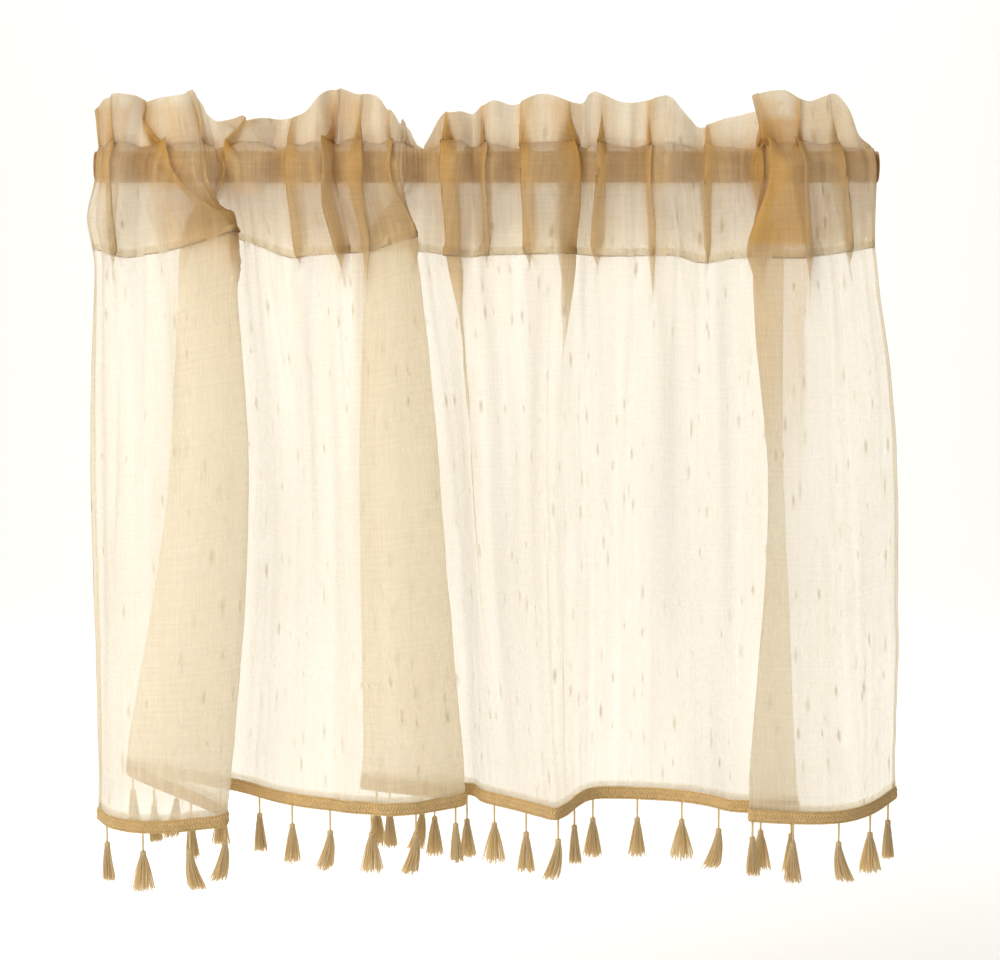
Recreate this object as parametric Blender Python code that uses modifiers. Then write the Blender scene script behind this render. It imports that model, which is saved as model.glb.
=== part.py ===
"""A sheer cafe curtain gathered on a wooden rod, with a braid and tassels along its hem.

Metres, +Z up. The origin is the middle of the rod's left end face. The rod runs along +X,
and the curtain's front faces -Y.
"""

import math

import bmesh
import bpy
import numpy as np
from mathutils import Matrix, Vector

MM = 0.001
PART_NAME = "cafe_curtain"

# Finishes.
WOOD = {"color": (0.36, 0.20, 0.09), "roughness": 0.55}
LINEN = {"color": (0.86, 0.76, 0.60), "roughness": 0.90}
BRAID = {"color": (0.70, 0.46, 0.20), "roughness": 0.85}
YARN = {"color": (0.72, 0.50, 0.25), "roughness": 0.85}

# The rod.
ROD_LENGTH = 0.625
ROD_RADIUS = 0.0125
ROD_SIDES = 32
ROD_END_BEVEL = 0.0008

# The cloth: one layer below the pocket, two sewn together in the heading.
CLOTH_THICKNESS = 0.0012
HEADING_THICKNESS = 0.0020
HEM_DROP = 0.513
CLOTH_STEP = 0.0115
HEM_FLARE = 1.03

# The pocket: the front layer's distance from the rod's axis where it lies close to the rod,
# and how far the stitch line above the rod stands off it.
SNUG = 0.0152
STITCH_GAP_SNUG = 0.0006
STITCH_GAP_PUFFED = 0.0080
STITCH_GAP_RATE = 0.42
STITCH_SWAY = 0.8
STITCH_SWAY_LIMIT = 0.0060
STITCH_X_SHARE = 0.30
SEAM_CROTCH = 0.0016

# Rows of the pocket's layers: shares of the arc from the stitch line to the rod's side, then
# depths under the rod's axis as shares of the way to the seam, with how far each layer still
# stands off towards its place beside the rod.
ARC_SHARES = (0.25, 0.60, 1.0)
POCKET_ROWS = ((0.26, 0.86), (0.62, 0.25))

# The row half way up the heading, as shares of the way from the stitch line to the top edge.
HEADING_HALF_X = 0.50
HEADING_HALF_Y = 0.42
HEADING_HALF_Z = 0.52

# Rows of the single cloth, as shares of the way from the seam to the hem. Above the middle
# row a fold leaves the gathers quickly, by this share of its way, and eases for the rest.
MID_SHARE = 0.42
CLOTH_ROWS = (0.08, 0.22, MID_SHARE, 0.62, 0.82, 1.0)
QUICK_SHARE = 0.5

# The heading and the pocket at each gather, in millimetres: where the top edge stands, where
# the gather crosses the rod, and how far the two layers stand from the rod's axis.
HEADING_COLUMNS = "top_x top_y top_z rod_x front back"
HEADING = (
    (3, -20, 44, 3, -20, 17),
    (18, -26, 57, 14, -34, 17),
    (30, -14, 57, 26, -30, 20),
    (38, 12, 52, 37, -15, 34),
    (52, -8, 54, 58, -24, 24),
    (72, -14, 57, 84, -42, 15),
    (78, 10, 59, 94, -27, 24),
    (92, 30, 37, 106, -15, 40),
    (123, -24, 39, 127, -34, 15),
    (150, 26, 38, 150, -15, 32),
    (168, -6, 42, 166, -26, 17),
    (181, -20, 56, 180, -40, 15),
    (195, 8, 62, 191, -15, 36),
    (211, -18, 58, 207, -38, 15),
    (228, -14, 54, 225, -28, 20),
    (244, -24, 34, 243, -36, 15),
    (236, 12, 50, 251, -25, 25),
    (262, 34, 15, 263, -15, 36),
    (276, -6, 40, 276, -24, 18),
    (288, -16, 44, 289, -38, 15),
    (302, 10, 42, 302, -15, 32),
    (317, -14, 52, 317, -30, 15),
    (335, 8, 49, 337, -17, 24),
    (358, -14, 58, 359, -32, 15),
    (380, -6, 51, 377, -22, 19),
    (390, 14, 51, 390, -15, 36),
    (398, -12, 59, 401, -30, 15),
    (420, -4, 51, 420, -22, 18),
    (440, 12, 52, 439, -15, 28),
    (458, -14, 55, 458, -34, 15),
    (483, 26, 32, 481, -16, 26),
    (506, 20, 38, 508, -19, 28),
    (552, 24, 52, 527, -15, 42),
    (524, 0, 56, 539, -29, 26),
    (546, -22, 60, 553, -44, 15),
    (566, -12, 52, 573, -30, 17),
    (592, -6, 56, 598, -22, 22),
    (615, 10, 16, 622, -17, 17),
)

# The same gathers further down, in millimetres: at the pocket's seam, half way down and at
# the hem, where some stretches hang higher than the rest.
FOLD_COLUMNS = "seam_x seam_y seam_z mid_x mid_y hem_x hem_y hem_lift"
FOLDS = (
    (0, -6, -65, -3, -8, 4, -10, -6),
    (13, -20, -69, 17, -24, 17, -32, -8),
    (26, -12, -72, 30, -30, 33, -42, -9),
    (40, 2, -70, 45, -28, 50, -46, -9),
    (62, -10, -66, 72, -36, 76, -44, -8),
    (110, -22, -52, 124, -22, 107, -24, -4),
    (68, 2, -65, 54, 16, 22, 34, 22),
    (108, 18, -58, 116, 32, 104, 52, 4),
    (133, -2, -64, 146, 16, 142, 26, 0),
    (155, 10, -73, 167, 4, 167, 6, 0),
    (176, -8, -70, 183, -4, 190, -6, 0),
    (192, -12, -69, 197, -12, 203, -14, 0),
    (203, 0, -69, 208, -16, 217, -18, 0),
    (220, -18, -67, 222, -24, 237, -24, 0),
    (237, -20, -61, 246, -24, 263, -14, 0),
    (255, -16, -56, 276, -10, 294, 12, 2),
    (214, 2, -66, 208, 14, 211, 30, 10),
    (262, 16, -68, 282, 28, 298, 42, 2),
    (278, 0, -70, 293, 16, 308, 28, 0),
    (290, -16, -71, 301, 2, 318, 14, 0),
    (302, 6, -72, 312, 10, 330, 2, 0),
    (319, -8, -70, 327, -2, 342, -12, 0),
    (339, 4, -70, 343, -12, 354, -26, 0),
    (360, -12, -69, 359, -24, 366, -38, 0),
    (372, -6, -69, 370, -14, 376, -20, 0),
    (384, 12, -70, 384, 10, 385, 10, 0),
    (400, -2, -71, 402, 24, 397, 34, 0),
    (420, -10, -71, 420, 18, 416, 38, 0),
    (442, 6, -71, 440, 20, 441, 34, 0),
    (465, -10, -71, 464, 8, 468, 26, 0),
    (486, 6, -77, 488, 4, 490, 10, 0),
    (510, -2, -73, 514, -4, 509, -10, 0),
    (552, 10, -72, 550, 4, 560, -8, -2),
    (524, -6, -72, 538, -10, 519, -28, -3),
    (560, -24, -72, 560, -24, 560, -44, -2),
    (580, -18, -70, 586, -24, 592, -38, -2),
    (603, -8, -67, 612, -12, 617, -14, -1),
    (624, 4, -64, 640, 14, 643, 34, 1),
)

# The braid hangs edge to edge under the hem, and the tassels under the braid.
SEWN_GAP = 0.0003
BRAID_HEIGHT = 0.0100
BRAID_THICKNESS = 0.0020

TASSEL_SIDES = 6
CORD_RADIUS = 0.0007
HEAD_RADIUS = 0.0024
HEAD_HEIGHT = 0.0045
HEAD_ROWS = (0.3, 0.7)
SKIRT_ROOT_RADIUS = 0.0026
SKIRT_LENGTH = 0.0270
LOCK_PART = 0.00025
LOCK_WAIST = 0.45
LOCK_SWELL = 2.3
LOCK_SPACE = 0.0021
LOCK_ROOT_SHARE = 0.62

# Each kind of tassel, in millimetres: cord length, how far the locks spread at their ends,
# and how far the ends hang to the right and to the front.
TASSEL_COLUMNS = "cord spread right front"
TASSEL_KINDS = {
    "straight": (15, 5.0, 0, 0),
    "wide": (14, 6.8, 0, 1),
    "left": (16, 4.8, -6, 1),
    "right": (15, 4.8, 6, 0),
    "slim": (13, 3.5, 1, -1),
    "long": (20, 4.8, 1, 1),
}
TASSEL_ORDER = (
    "slim wide right left slim slim slim left straight slim straight left wide "
    "left slim straight slim straight left long wide straight left slim straight straight "
    "wide left wide straight slim straight right wide slim"
).split()


def column(rows, columns, name):
    """One named column of a table, in metres."""
    return np.array([row[columns.split().index(name)] for row in rows], float) * MM


def heading(name):
    return column(HEADING, HEADING_COLUMNS, name)


def folds(name):
    return column(FOLDS, FOLD_COLUMNS, name)


def flat_places():
    """Where each gather lies along the flat cloth, from the mean of its spacing at four heights."""
    heights = (
        (heading("rod_x"), heading("front")),
        (folds("seam_x"), folds("seam_y")),
        (folds("mid_x"), folds("mid_y")),
        (folds("hem_x"), folds("hem_y")),
    )
    steps = np.mean([np.hypot(np.diff(x), np.diff(y)) for x, y in heights], axis=0)
    return np.concatenate(([0.0], np.cumsum(steps)))


def through(places, values, at):
    """A smooth curve through values at places, read at other places."""
    slopes = np.gradient(values, places)
    slopes[1:-1] = (values[2:] - values[:-2]) / (places[2:] - places[:-2])
    k = np.clip(np.searchsorted(places, at, side="right") - 1, 0, len(places) - 2)
    width = places[k + 1] - places[k]
    t = (at - places[k]) / width
    rise = 3 * t**2 - 2 * t**3
    start = (t - 2 * t**2 + t**3) * width * slopes[k]
    end = (t**3 - t**2) * width * slopes[k + 1]
    return values[k] * (1 - rise) + values[k + 1] * rise + start + end


def ease(t):
    return 3 * t**2 - 2 * t**3


def mix(a, b, t):
    return a + (b - a) * t


def flared(x, share):
    """The cloth spreads a little on its way down."""
    return mix(x, ROD_LENGTH / 2 + (x - ROD_LENGTH / 2) * HEM_FLARE, share)


def point_rows(*rows):
    """Rows of x, y and z made into one grid of points: row, place along the cloth, axis."""
    return np.array([np.stack(np.broadcast_arrays(*row), axis=-1) for row in rows])


class Drape:
    """The middle surfaces of the hanging cloth, read at places along its flat width."""

    def __init__(self, at):
        places = flat_places()
        for name in HEADING_COLUMNS.split():
            setattr(self, name, through(places, heading(name), at))
        for name in FOLD_COLUMNS.split():
            setattr(self, name, through(places, folds(name), at))
        self.front = np.minimum(self.front, -SNUG)
        self.back = np.maximum(self.back, SNUG)
        sway = STITCH_SWAY * (self.front + self.back) / 2
        self.stitch_y = np.clip(sway, -STITCH_SWAY_LIMIT, STITCH_SWAY_LIMIT)
        gap = STITCH_GAP_SNUG + STITCH_GAP_RATE * (-self.front - SNUG)
        self.stitch_radius = ROD_RADIUS + np.clip(gap, STITCH_GAP_SNUG, STITCH_GAP_PUFFED)
        self.stitch_z = np.sqrt(self.stitch_radius**2 - self.stitch_y**2)
        self.stitch_x = mix(self.rod_x, self.top_x, STITCH_X_SHARE)

    def heading_rows(self):
        """The double heading, from its top edge to the stitch line."""
        half_x = mix(self.stitch_x, self.top_x, HEADING_HALF_X)
        half_y = mix(self.stitch_y, self.top_y, HEADING_HALF_Y)
        half_z = mix(self.stitch_z, self.top_z, HEADING_HALF_Z)
        return point_rows(
            (self.top_x, self.top_y, self.top_z),
            (half_x, half_y, half_z),
            (self.stitch_x, self.stitch_y, self.stitch_z + HEADING_THICKNESS / 2),
        )

    def pocket_rows(self, side):
        """One layer of the pocket, from the stitch line round the rod to the seam."""
        beside = self.front if side < 0 else self.back
        turn = math.pi if side < 0 else 0.0
        start = np.arctan2(self.stitch_z, self.stitch_y)
        rows = [(self.stitch_x, self.stitch_y, self.stitch_z)]
        for share in ARC_SHARES:
            angle = mix(start, turn, share)
            radius = np.maximum(mix(self.stitch_radius, SNUG, share), SNUG)
            stand_off = (np.abs(beside) - SNUG) * ease(share) * side
            x = mix(self.stitch_x, self.rod_x, share)
            rows.append((x, radius * np.cos(angle) + stand_off, radius * np.sin(angle)))
        for share, open_share in POCKET_ROWS:
            x = mix(self.rod_x, self.seam_x, ease(share))
            rows.append((x, mix(self.seam_y, beside, open_share), self.seam_z * share))
        rows.append((self.seam_x, self.seam_y, self.seam_z))
        return point_rows(*rows)

    def cloth_rows(self):
        """The single cloth, from the seam to the hem."""
        hem_z = self.hem_lift - HEM_DROP
        rows = [(self.seam_x, self.seam_y, self.seam_z)]
        for share in CLOTH_ROWS:
            x = self.between(share, self.seam_x, self.mid_x, self.hem_x)
            y = self.between(share, self.seam_y, self.mid_y, self.hem_y)
            rows.append((flared(x, share), y, mix(self.seam_z, hem_z, share)))
        return point_rows(*rows)

    @staticmethod
    def between(share, seam, mid, hem):
        """A curve down the cloth: quick to leave the gathers, then nearly straight."""
        if share < MID_SHARE:
            t = share / MID_SHARE
            return mix(seam, mid, mix(ease(t), t * (2 - t), QUICK_SHARE))
        return mix(mid, hem, (share - MID_SHARE) / (1 - MID_SHARE))


def face_directions(grid):
    """Unit directions off a grid of points, towards the front where the cloth faces it."""
    along = np.gradient(grid, axis=1)
    down = np.gradient(grid, axis=0)
    off = np.cross(down, along)
    return off / np.linalg.norm(off, axis=-1, keepdims=True)


def both_faces(grid, thickness):
    """The front and back faces of a layer of cloth, on either side of its middle."""
    off = face_directions(grid) * thickness / 2
    return grid + off, grid - off


def new_object(name, mesh, finish):
    material = bpy.data.materials.new(name + "_finish")
    material.use_nodes = True
    shader = material.node_tree.nodes["Principled BSDF"]
    shader.inputs["Base Color"].default_value = (*finish["color"], 1.0)
    shader.inputs["Roughness"].default_value = finish["roughness"]
    shader.inputs["Metallic"].default_value = 0.0
    mesh.materials.append(material)
    piece = bpy.data.objects.new(name, mesh)
    bpy.data.collections[PART_NAME].objects.link(piece)
    return piece


def loft(name, rings, caps, finish):
    """A solid through rings of points, closed at both ends by the quads that caps lists."""
    bm = bmesh.new()
    starts = []
    for ring in rings:
        starts.append([[bm.verts.new(point) for point in line] for line in ring])
    for lines in starts:
        for near, far in zip(lines, lines[1:]):
            for i in range(len(near)):
                j = (i + 1) % len(near)
                bm.faces.new((near[i], near[j], far[j], far[i]))
    for end in (0, -1):
        for corners in caps:
            bm.faces.new([starts[ring][end][i] for ring, i in corners])
    bmesh.ops.recalc_face_normals(bm, faces=bm.faces)
    mesh = bpy.data.meshes.new(name)
    bm.to_mesh(mesh)
    bm.free()
    mesh.shade_smooth()
    return new_object(name, mesh, finish)


def ladder(front, back):
    """Quads between two runs of corners that face each other."""
    pairs = list(zip(front, back))
    return [(a, c, d, b) for (a, b), (c, d) in zip(pairs, pairs[1:])]


def panel(drape, finish):
    """The curtain's cloth: heading, pocket round the rod, and the long fall to the hem."""
    head_front, head_back = both_faces(drape.heading_rows(), HEADING_THICKNESS)
    near, far = drape.pocket_rows(-1), drape.pocket_rows(1)
    near_out, near_in = both_faces(near, CLOTH_THICKNESS)
    far_in, far_out = both_faces(far, CLOTH_THICKNESS)
    fall_front, fall_back = both_faces(drape.cloth_rows(), CLOTH_THICKNESS)
    crotch = near[-1] + np.array((0, 0, SEAM_CROTCH))
    outside_front = np.concatenate((head_front, near_out[1:-1], fall_front))
    outside_back = np.concatenate((head_back, far_out[1:-1], fall_back))
    outside = np.concatenate((outside_front, outside_back[::-1]))
    tunnel = np.concatenate((near[:1], near_in[1:-1], crotch[None], far_in[1:-1][::-1]))
    count, tube = len(outside), len(tunnel)
    stitch = len(head_front) - 1
    seam = stitch + len(near) - 1
    last = len(outside_front) - 1
    ring = [(0, i) for i in range(count)]
    back_ring = ring[::-1]
    half = tube // 2
    tube_front = [(1, i) for i in range(half + 1)]
    tube_back = [(1, 0)] + [(1, tube - i) for i in range(1, half + 1)]
    caps = ladder(ring[: stitch + 1], back_ring[: stitch + 1])
    caps += ladder(ring[stitch : seam + 1], tube_front)
    caps += ladder(back_ring[stitch : seam + 1], tube_back)
    caps += ladder(ring[seam : last + 1], back_ring[seam : last + 1])
    caps += [(ring[stitch], tube_front[0], back_ring[stitch])]
    caps += [(ring[seam], tube_front[-1], back_ring[seam])]
    rings = (outside.transpose(1, 0, 2), tunnel.transpose(1, 0, 2))
    return loft("panel", rings, caps, finish)


def braid(drape, finish):
    """The braid under the hem, on the line of the cloth's lower edge."""
    hem_front, hem_back = both_faces(drape.cloth_rows(), BRAID_THICKNESS)
    top = np.array((0, 0, SEWN_GAP))
    low = np.array((0, 0, SEWN_GAP + BRAID_HEIGHT))
    section = (hem_front[-1] - top, hem_front[-1] - low, hem_back[-1] - low, hem_back[-1] - top)
    ring = np.array(section).transpose(1, 0, 2)
    caps = [[(0, 0), (0, 1), (0, 2), (0, 3)]]
    return loft("braid", (ring,), caps, finish)


def tassel(name, top, kind, finish):
    """A cord, a bound head and a skirt of locks that stand apart below the head."""
    sizes = {column: value * MM for column, value in zip(TASSEL_COLUMNS.split(), TASSEL_KINDS[kind])}
    cord, spread, right, front = (sizes[name] for name in ("cord", "spread", "right", "front"))
    profile = [(0.0, CORD_RADIUS), (cord, CORD_RADIUS)]
    profile += [(cord + HEAD_HEIGHT * share, HEAD_RADIUS) for share in HEAD_ROWS]
    profile += [(cord + HEAD_HEIGHT, SKIRT_ROOT_RADIUS)]
    bm = bmesh.new()
    made = bmesh.ops.create_circle(bm, cap_ends=True, segments=TASSEL_SIDES, radius=CORD_RADIUS)
    top_cap = cap = made["verts"][0].link_faces[0]
    for (height, radius), (below, next_radius) in zip(profile, profile[1:]):
        grown = bmesh.ops.extrude_face_region(bm, geom=[cap])["geom"]
        if cap is not top_cap:
            bmesh.ops.delete(bm, geom=[cap], context="FACES_ONLY")
        cap = next(item for item in grown if isinstance(item, bmesh.types.BMFace))
        scale = next_radius / radius
        for vert in cap.verts:
            vert.co = Vector((vert.co.x * scale, vert.co.y * scale, -below))
    locks = bmesh.ops.poke(bm, faces=[cap])["faces"]
    bmesh.ops.inset_individual(bm, faces=locks, thickness=LOCK_PART)
    root = profile[-1][0]
    swell = min(LOCK_SWELL, spread / LOCK_SPACE)
    size = 1.0
    before = 0.0
    for share in (LOCK_WAIST, 1.0):
        locks = bmesh.ops.extrude_discrete_faces(bm, faces=locks)["faces"]
        grow = mix(1.0, swell, share) / size
        size *= grow
        for lock in locks:
            middle = lock.calc_center_median()
            way = Vector((middle.x - right * before**2, middle.y + front * before**2, 0.0)).normalized()
            reach = mix(SKIRT_ROOT_RADIUS * LOCK_ROOT_SHARE, spread, share)
            place = way * reach + Vector((right * share**2, -front * share**2, 0.0))
            place.z = -root - SKIRT_LENGTH * share
            for vert in lock.verts:
                vert.co = place + (vert.co - middle) * grow
        before = share
    bmesh.ops.translate(bm, verts=bm.verts, vec=Vector(top))
    bmesh.ops.recalc_face_normals(bm, faces=bm.faces)
    mesh = bpy.data.meshes.new(name)
    bm.to_mesh(mesh)
    bm.free()
    mesh.shade_smooth()
    return new_object(name, mesh, finish)


def tassels(drape, finish):
    """The row of tassels, evenly spaced along the braid."""
    line = drape.cloth_rows()[-1]
    run = np.concatenate(([0.0], np.cumsum(np.linalg.norm(np.diff(line, axis=0), axis=1))))
    spots = (np.arange(len(TASSEL_ORDER)) + 0.5) * run[-1] / len(TASSEL_ORDER)
    hem = np.stack([np.interp(spots, run, line[:, axis]) for axis in range(3)], axis=-1)
    below = np.array((0, 0, SEWN_GAP + BRAID_HEIGHT + SEWN_GAP))
    for i, (point, kind) in enumerate(zip(hem, TASSEL_ORDER)):
        tassel(f"tassel_{i + 1:02d}", point - below, kind, finish)


def rod(finish):
    """The plain round rod, its left end face at the origin."""
    bm = bmesh.new()
    turned = Matrix.Translation((ROD_LENGTH / 2, 0, 0)) @ Matrix.Rotation(math.pi / 2, 4, "Y")
    bmesh.ops.create_cone(
        bm,
        cap_ends=True,
        segments=ROD_SIDES,
        radius1=ROD_RADIUS,
        radius2=ROD_RADIUS,
        depth=ROD_LENGTH,
        matrix=turned,
    )
    mesh = bpy.data.meshes.new("rod")
    bm.to_mesh(mesh)
    bm.free()
    mesh.shade_smooth()
    piece = new_object("rod", mesh, finish)
    edge = piece.modifiers.new("end_bevel", "BEVEL")
    edge.width = ROD_END_BEVEL
    edge.segments = 1
    edge.limit_method = "ANGLE"


def main():
    for old in list(bpy.data.objects):
        bpy.data.objects.remove(old)
    collection = bpy.data.collections.new(PART_NAME)
    bpy.context.scene.collection.children.link(collection)
    width = flat_places()[-1]
    drape = Drape(np.linspace(0.0, width, round(width / CLOTH_STEP) + 1))
    rod(WOOD)
    panel(drape, LINEN)
    braid(drape, BRAID)
    tassels(drape, YARN)


if __name__ == "__main__":
    main()
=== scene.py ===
"""The looks of a sheer cafe curtain on its rod: gathered cloth, stitching, braid, tassels, rod.

Metres, +Z up. The origin is the middle of the rod's left end face, the rod runs along +X and
the curtain's front faces -Y. The cloth follows the same gathers and folds as the solids.
"""

import math

import bmesh
import bpy
import numpy as np
from mathutils import Matrix, Vector


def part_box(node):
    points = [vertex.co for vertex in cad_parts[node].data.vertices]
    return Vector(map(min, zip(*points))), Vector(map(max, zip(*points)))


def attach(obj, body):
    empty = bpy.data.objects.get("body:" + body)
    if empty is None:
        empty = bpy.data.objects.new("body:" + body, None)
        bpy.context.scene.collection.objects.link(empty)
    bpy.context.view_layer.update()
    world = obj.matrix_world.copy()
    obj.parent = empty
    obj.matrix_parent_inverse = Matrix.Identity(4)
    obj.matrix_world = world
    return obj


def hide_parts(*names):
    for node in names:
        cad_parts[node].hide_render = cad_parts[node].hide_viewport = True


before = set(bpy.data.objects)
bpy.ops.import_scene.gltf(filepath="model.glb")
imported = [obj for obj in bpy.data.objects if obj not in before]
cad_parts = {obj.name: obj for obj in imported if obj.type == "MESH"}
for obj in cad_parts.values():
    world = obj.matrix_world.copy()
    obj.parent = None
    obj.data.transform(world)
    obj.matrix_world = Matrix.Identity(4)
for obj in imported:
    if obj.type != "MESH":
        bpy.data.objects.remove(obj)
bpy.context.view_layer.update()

bl_info = {
    "name": "Cafe curtain",
    "version": (1, 0, 0),
    "blender": (4, 5, 0),
    "location": "View3D > Sidebar > Curtain",
    "description": "A sheer cafe curtain gathered on a rod, with a braid and tassels on its hem",
    "category": "Object",
}

MM = 0.001
BODY = "root"

# The rod, as its solid has it.
ROD_LOW, ROD_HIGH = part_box("rod")
ROD_LENGTH = ROD_HIGH.x - ROD_LOW.x
ROD_RADIUS = (ROD_HIGH.z - ROD_LOW.z) / 2

# The pocket: how close the cloth lies to the rod, and how far the stitch line above the rod
# stands off it.
SNUG = 0.0152
STITCH_GAP_SNUG = 0.0006
STITCH_GAP_PUFFED = 0.0080
STITCH_GAP_RATE = 0.42
STITCH_SWAY = 0.8
STITCH_SWAY_LIMIT = 0.0060
STITCH_X_SHARE = 0.30
ROD_CLEARANCE = 0.0006

# The heading's middle row and the cloth's middle row, as shares of the way up or down.
HEADING_HALF_X = 0.50
HEADING_HALF_Y = 0.42
HEADING_HALF_Z = 0.52
MID_SHARE = 0.42
HEM_DROP = 0.513
HEM_FLARE = 1.03
SOLID_STEP = 0.0115

# The heading and the pocket at each gather, in millimetres: where the top edge stands, where
# the gather crosses the rod, and how far the two layers stand from the rod's axis.
HEADING_COLUMNS = "top_x top_y top_z rod_x front back"
HEADING = (
    (3, -20, 44, 3, -20, 17),
    (18, -26, 57, 14, -34, 17),
    (30, -14, 57, 26, -30, 20),
    (38, 12, 52, 37, -15, 34),
    (52, -8, 54, 58, -24, 24),
    (72, -14, 57, 84, -42, 15),
    (78, 10, 59, 94, -27, 24),
    (92, 30, 37, 106, -15, 40),
    (123, -24, 39, 127, -34, 15),
    (150, 26, 38, 150, -15, 32),
    (168, -6, 42, 166, -26, 17),
    (181, -20, 56, 180, -40, 15),
    (195, 8, 62, 191, -15, 36),
    (211, -18, 58, 207, -38, 15),
    (228, -14, 54, 225, -28, 20),
    (244, -24, 34, 243, -36, 15),
    (246, 12, 37, 251, -25, 25),
    (262, 34, 15, 263, -15, 36),
    (276, -6, 40, 276, -24, 18),
    (288, -16, 44, 289, -38, 15),
    (302, 10, 42, 302, -15, 32),
    (317, -14, 52, 317, -30, 15),
    (335, 8, 49, 337, -17, 24),
    (358, -14, 58, 359, -32, 15),
    (380, -6, 51, 377, -22, 19),
    (390, 14, 51, 390, -15, 36),
    (398, -12, 59, 401, -30, 15),
    (420, -4, 51, 420, -22, 18),
    (440, 12, 52, 439, -15, 28),
    (458, -14, 55, 458, -34, 15),
    (483, 26, 32, 481, -16, 26),
    (506, 20, 38, 508, -19, 28),
    (552, 24, 52, 527, -15, 42),
    (524, 0, 56, 539, -29, 26),
    (546, -22, 60, 553, -44, 15),
    (566, -12, 52, 573, -30, 17),
    (592, -6, 56, 598, -22, 22),
    (615, 10, 16, 622, -17, 17),
)

# The same gathers further down, in millimetres: at the pocket's seam, half way down and at
# the hem, where some stretches hang higher than the rest.
FOLD_COLUMNS = "seam_x seam_y seam_z mid_x mid_y hem_x hem_y hem_lift"
FOLDS = (
    (0, -6, -65, -3, -8, 4, -10, -6),
    (13, -20, -69, 17, -24, 17, -32, -8),
    (26, -12, -72, 30, -30, 33, -42, -9),
    (40, 2, -70, 45, -28, 50, -46, -9),
    (62, -10, -66, 72, -36, 76, -44, -8),
    (110, -22, -52, 124, -22, 107, -24, -4),
    (68, 2, -65, 54, 16, 22, 34, 22),
    (108, 18, -58, 116, 32, 104, 52, 4),
    (133, -2, -64, 146, 16, 142, 26, 0),
    (155, 10, -73, 167, 4, 167, 6, 0),
    (176, -8, -70, 183, -4, 190, -6, 0),
    (192, -12, -69, 197, -12, 203, -14, 0),
    (203, 0, -69, 208, -16, 217, -18, 0),
    (220, -18, -67, 222, -24, 237, -24, 0),
    (237, -20, -61, 246, -24, 263, -14, 0),
    (255, -16, -56, 276, -10, 294, 12, 2),
    (214, 2, -66, 208, 14, 211, 30, 10),
    (262, 16, -68, 282, 28, 298, 42, 2),
    (278, 0, -70, 293, 16, 308, 28, 0),
    (290, -16, -71, 301, 2, 318, 14, 0),
    (302, 6, -72, 312, 10, 330, 2, 0),
    (319, -8, -70, 327, -2, 342, -12, 0),
    (339, 4, -70, 343, -12, 354, -26, 0),
    (360, -12, -69, 359, -24, 366, -38, 0),
    (372, -6, -69, 370, -14, 376, -20, 0),
    (384, 12, -70, 384, 10, 385, 10, 0),
    (400, -2, -71, 402, 24, 397, 34, 0),
    (420, -10, -71, 420, 18, 416, 38, 0),
    (442, 6, -71, 440, 20, 441, 34, 0),
    (465, -10, -71, 464, 8, 468, 26, 0),
    (486, 6, -77, 488, 4, 490, 10, 0),
    (510, -2, -73, 514, -4, 509, -10, 0),
    (552, 10, -72, 550, 4, 560, -8, -2),
    (524, -6, -72, 538, -10, 519, -28, -3),
    (560, -24, -72, 560, -24, 560, -44, -2),
    (580, -18, -70, 586, -24, 592, -38, -2),
    (603, -8, -67, 612, -12, 617, -14, -1),
    (624, 4, -64, 640, 14, 643, 34, 1),
)

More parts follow.
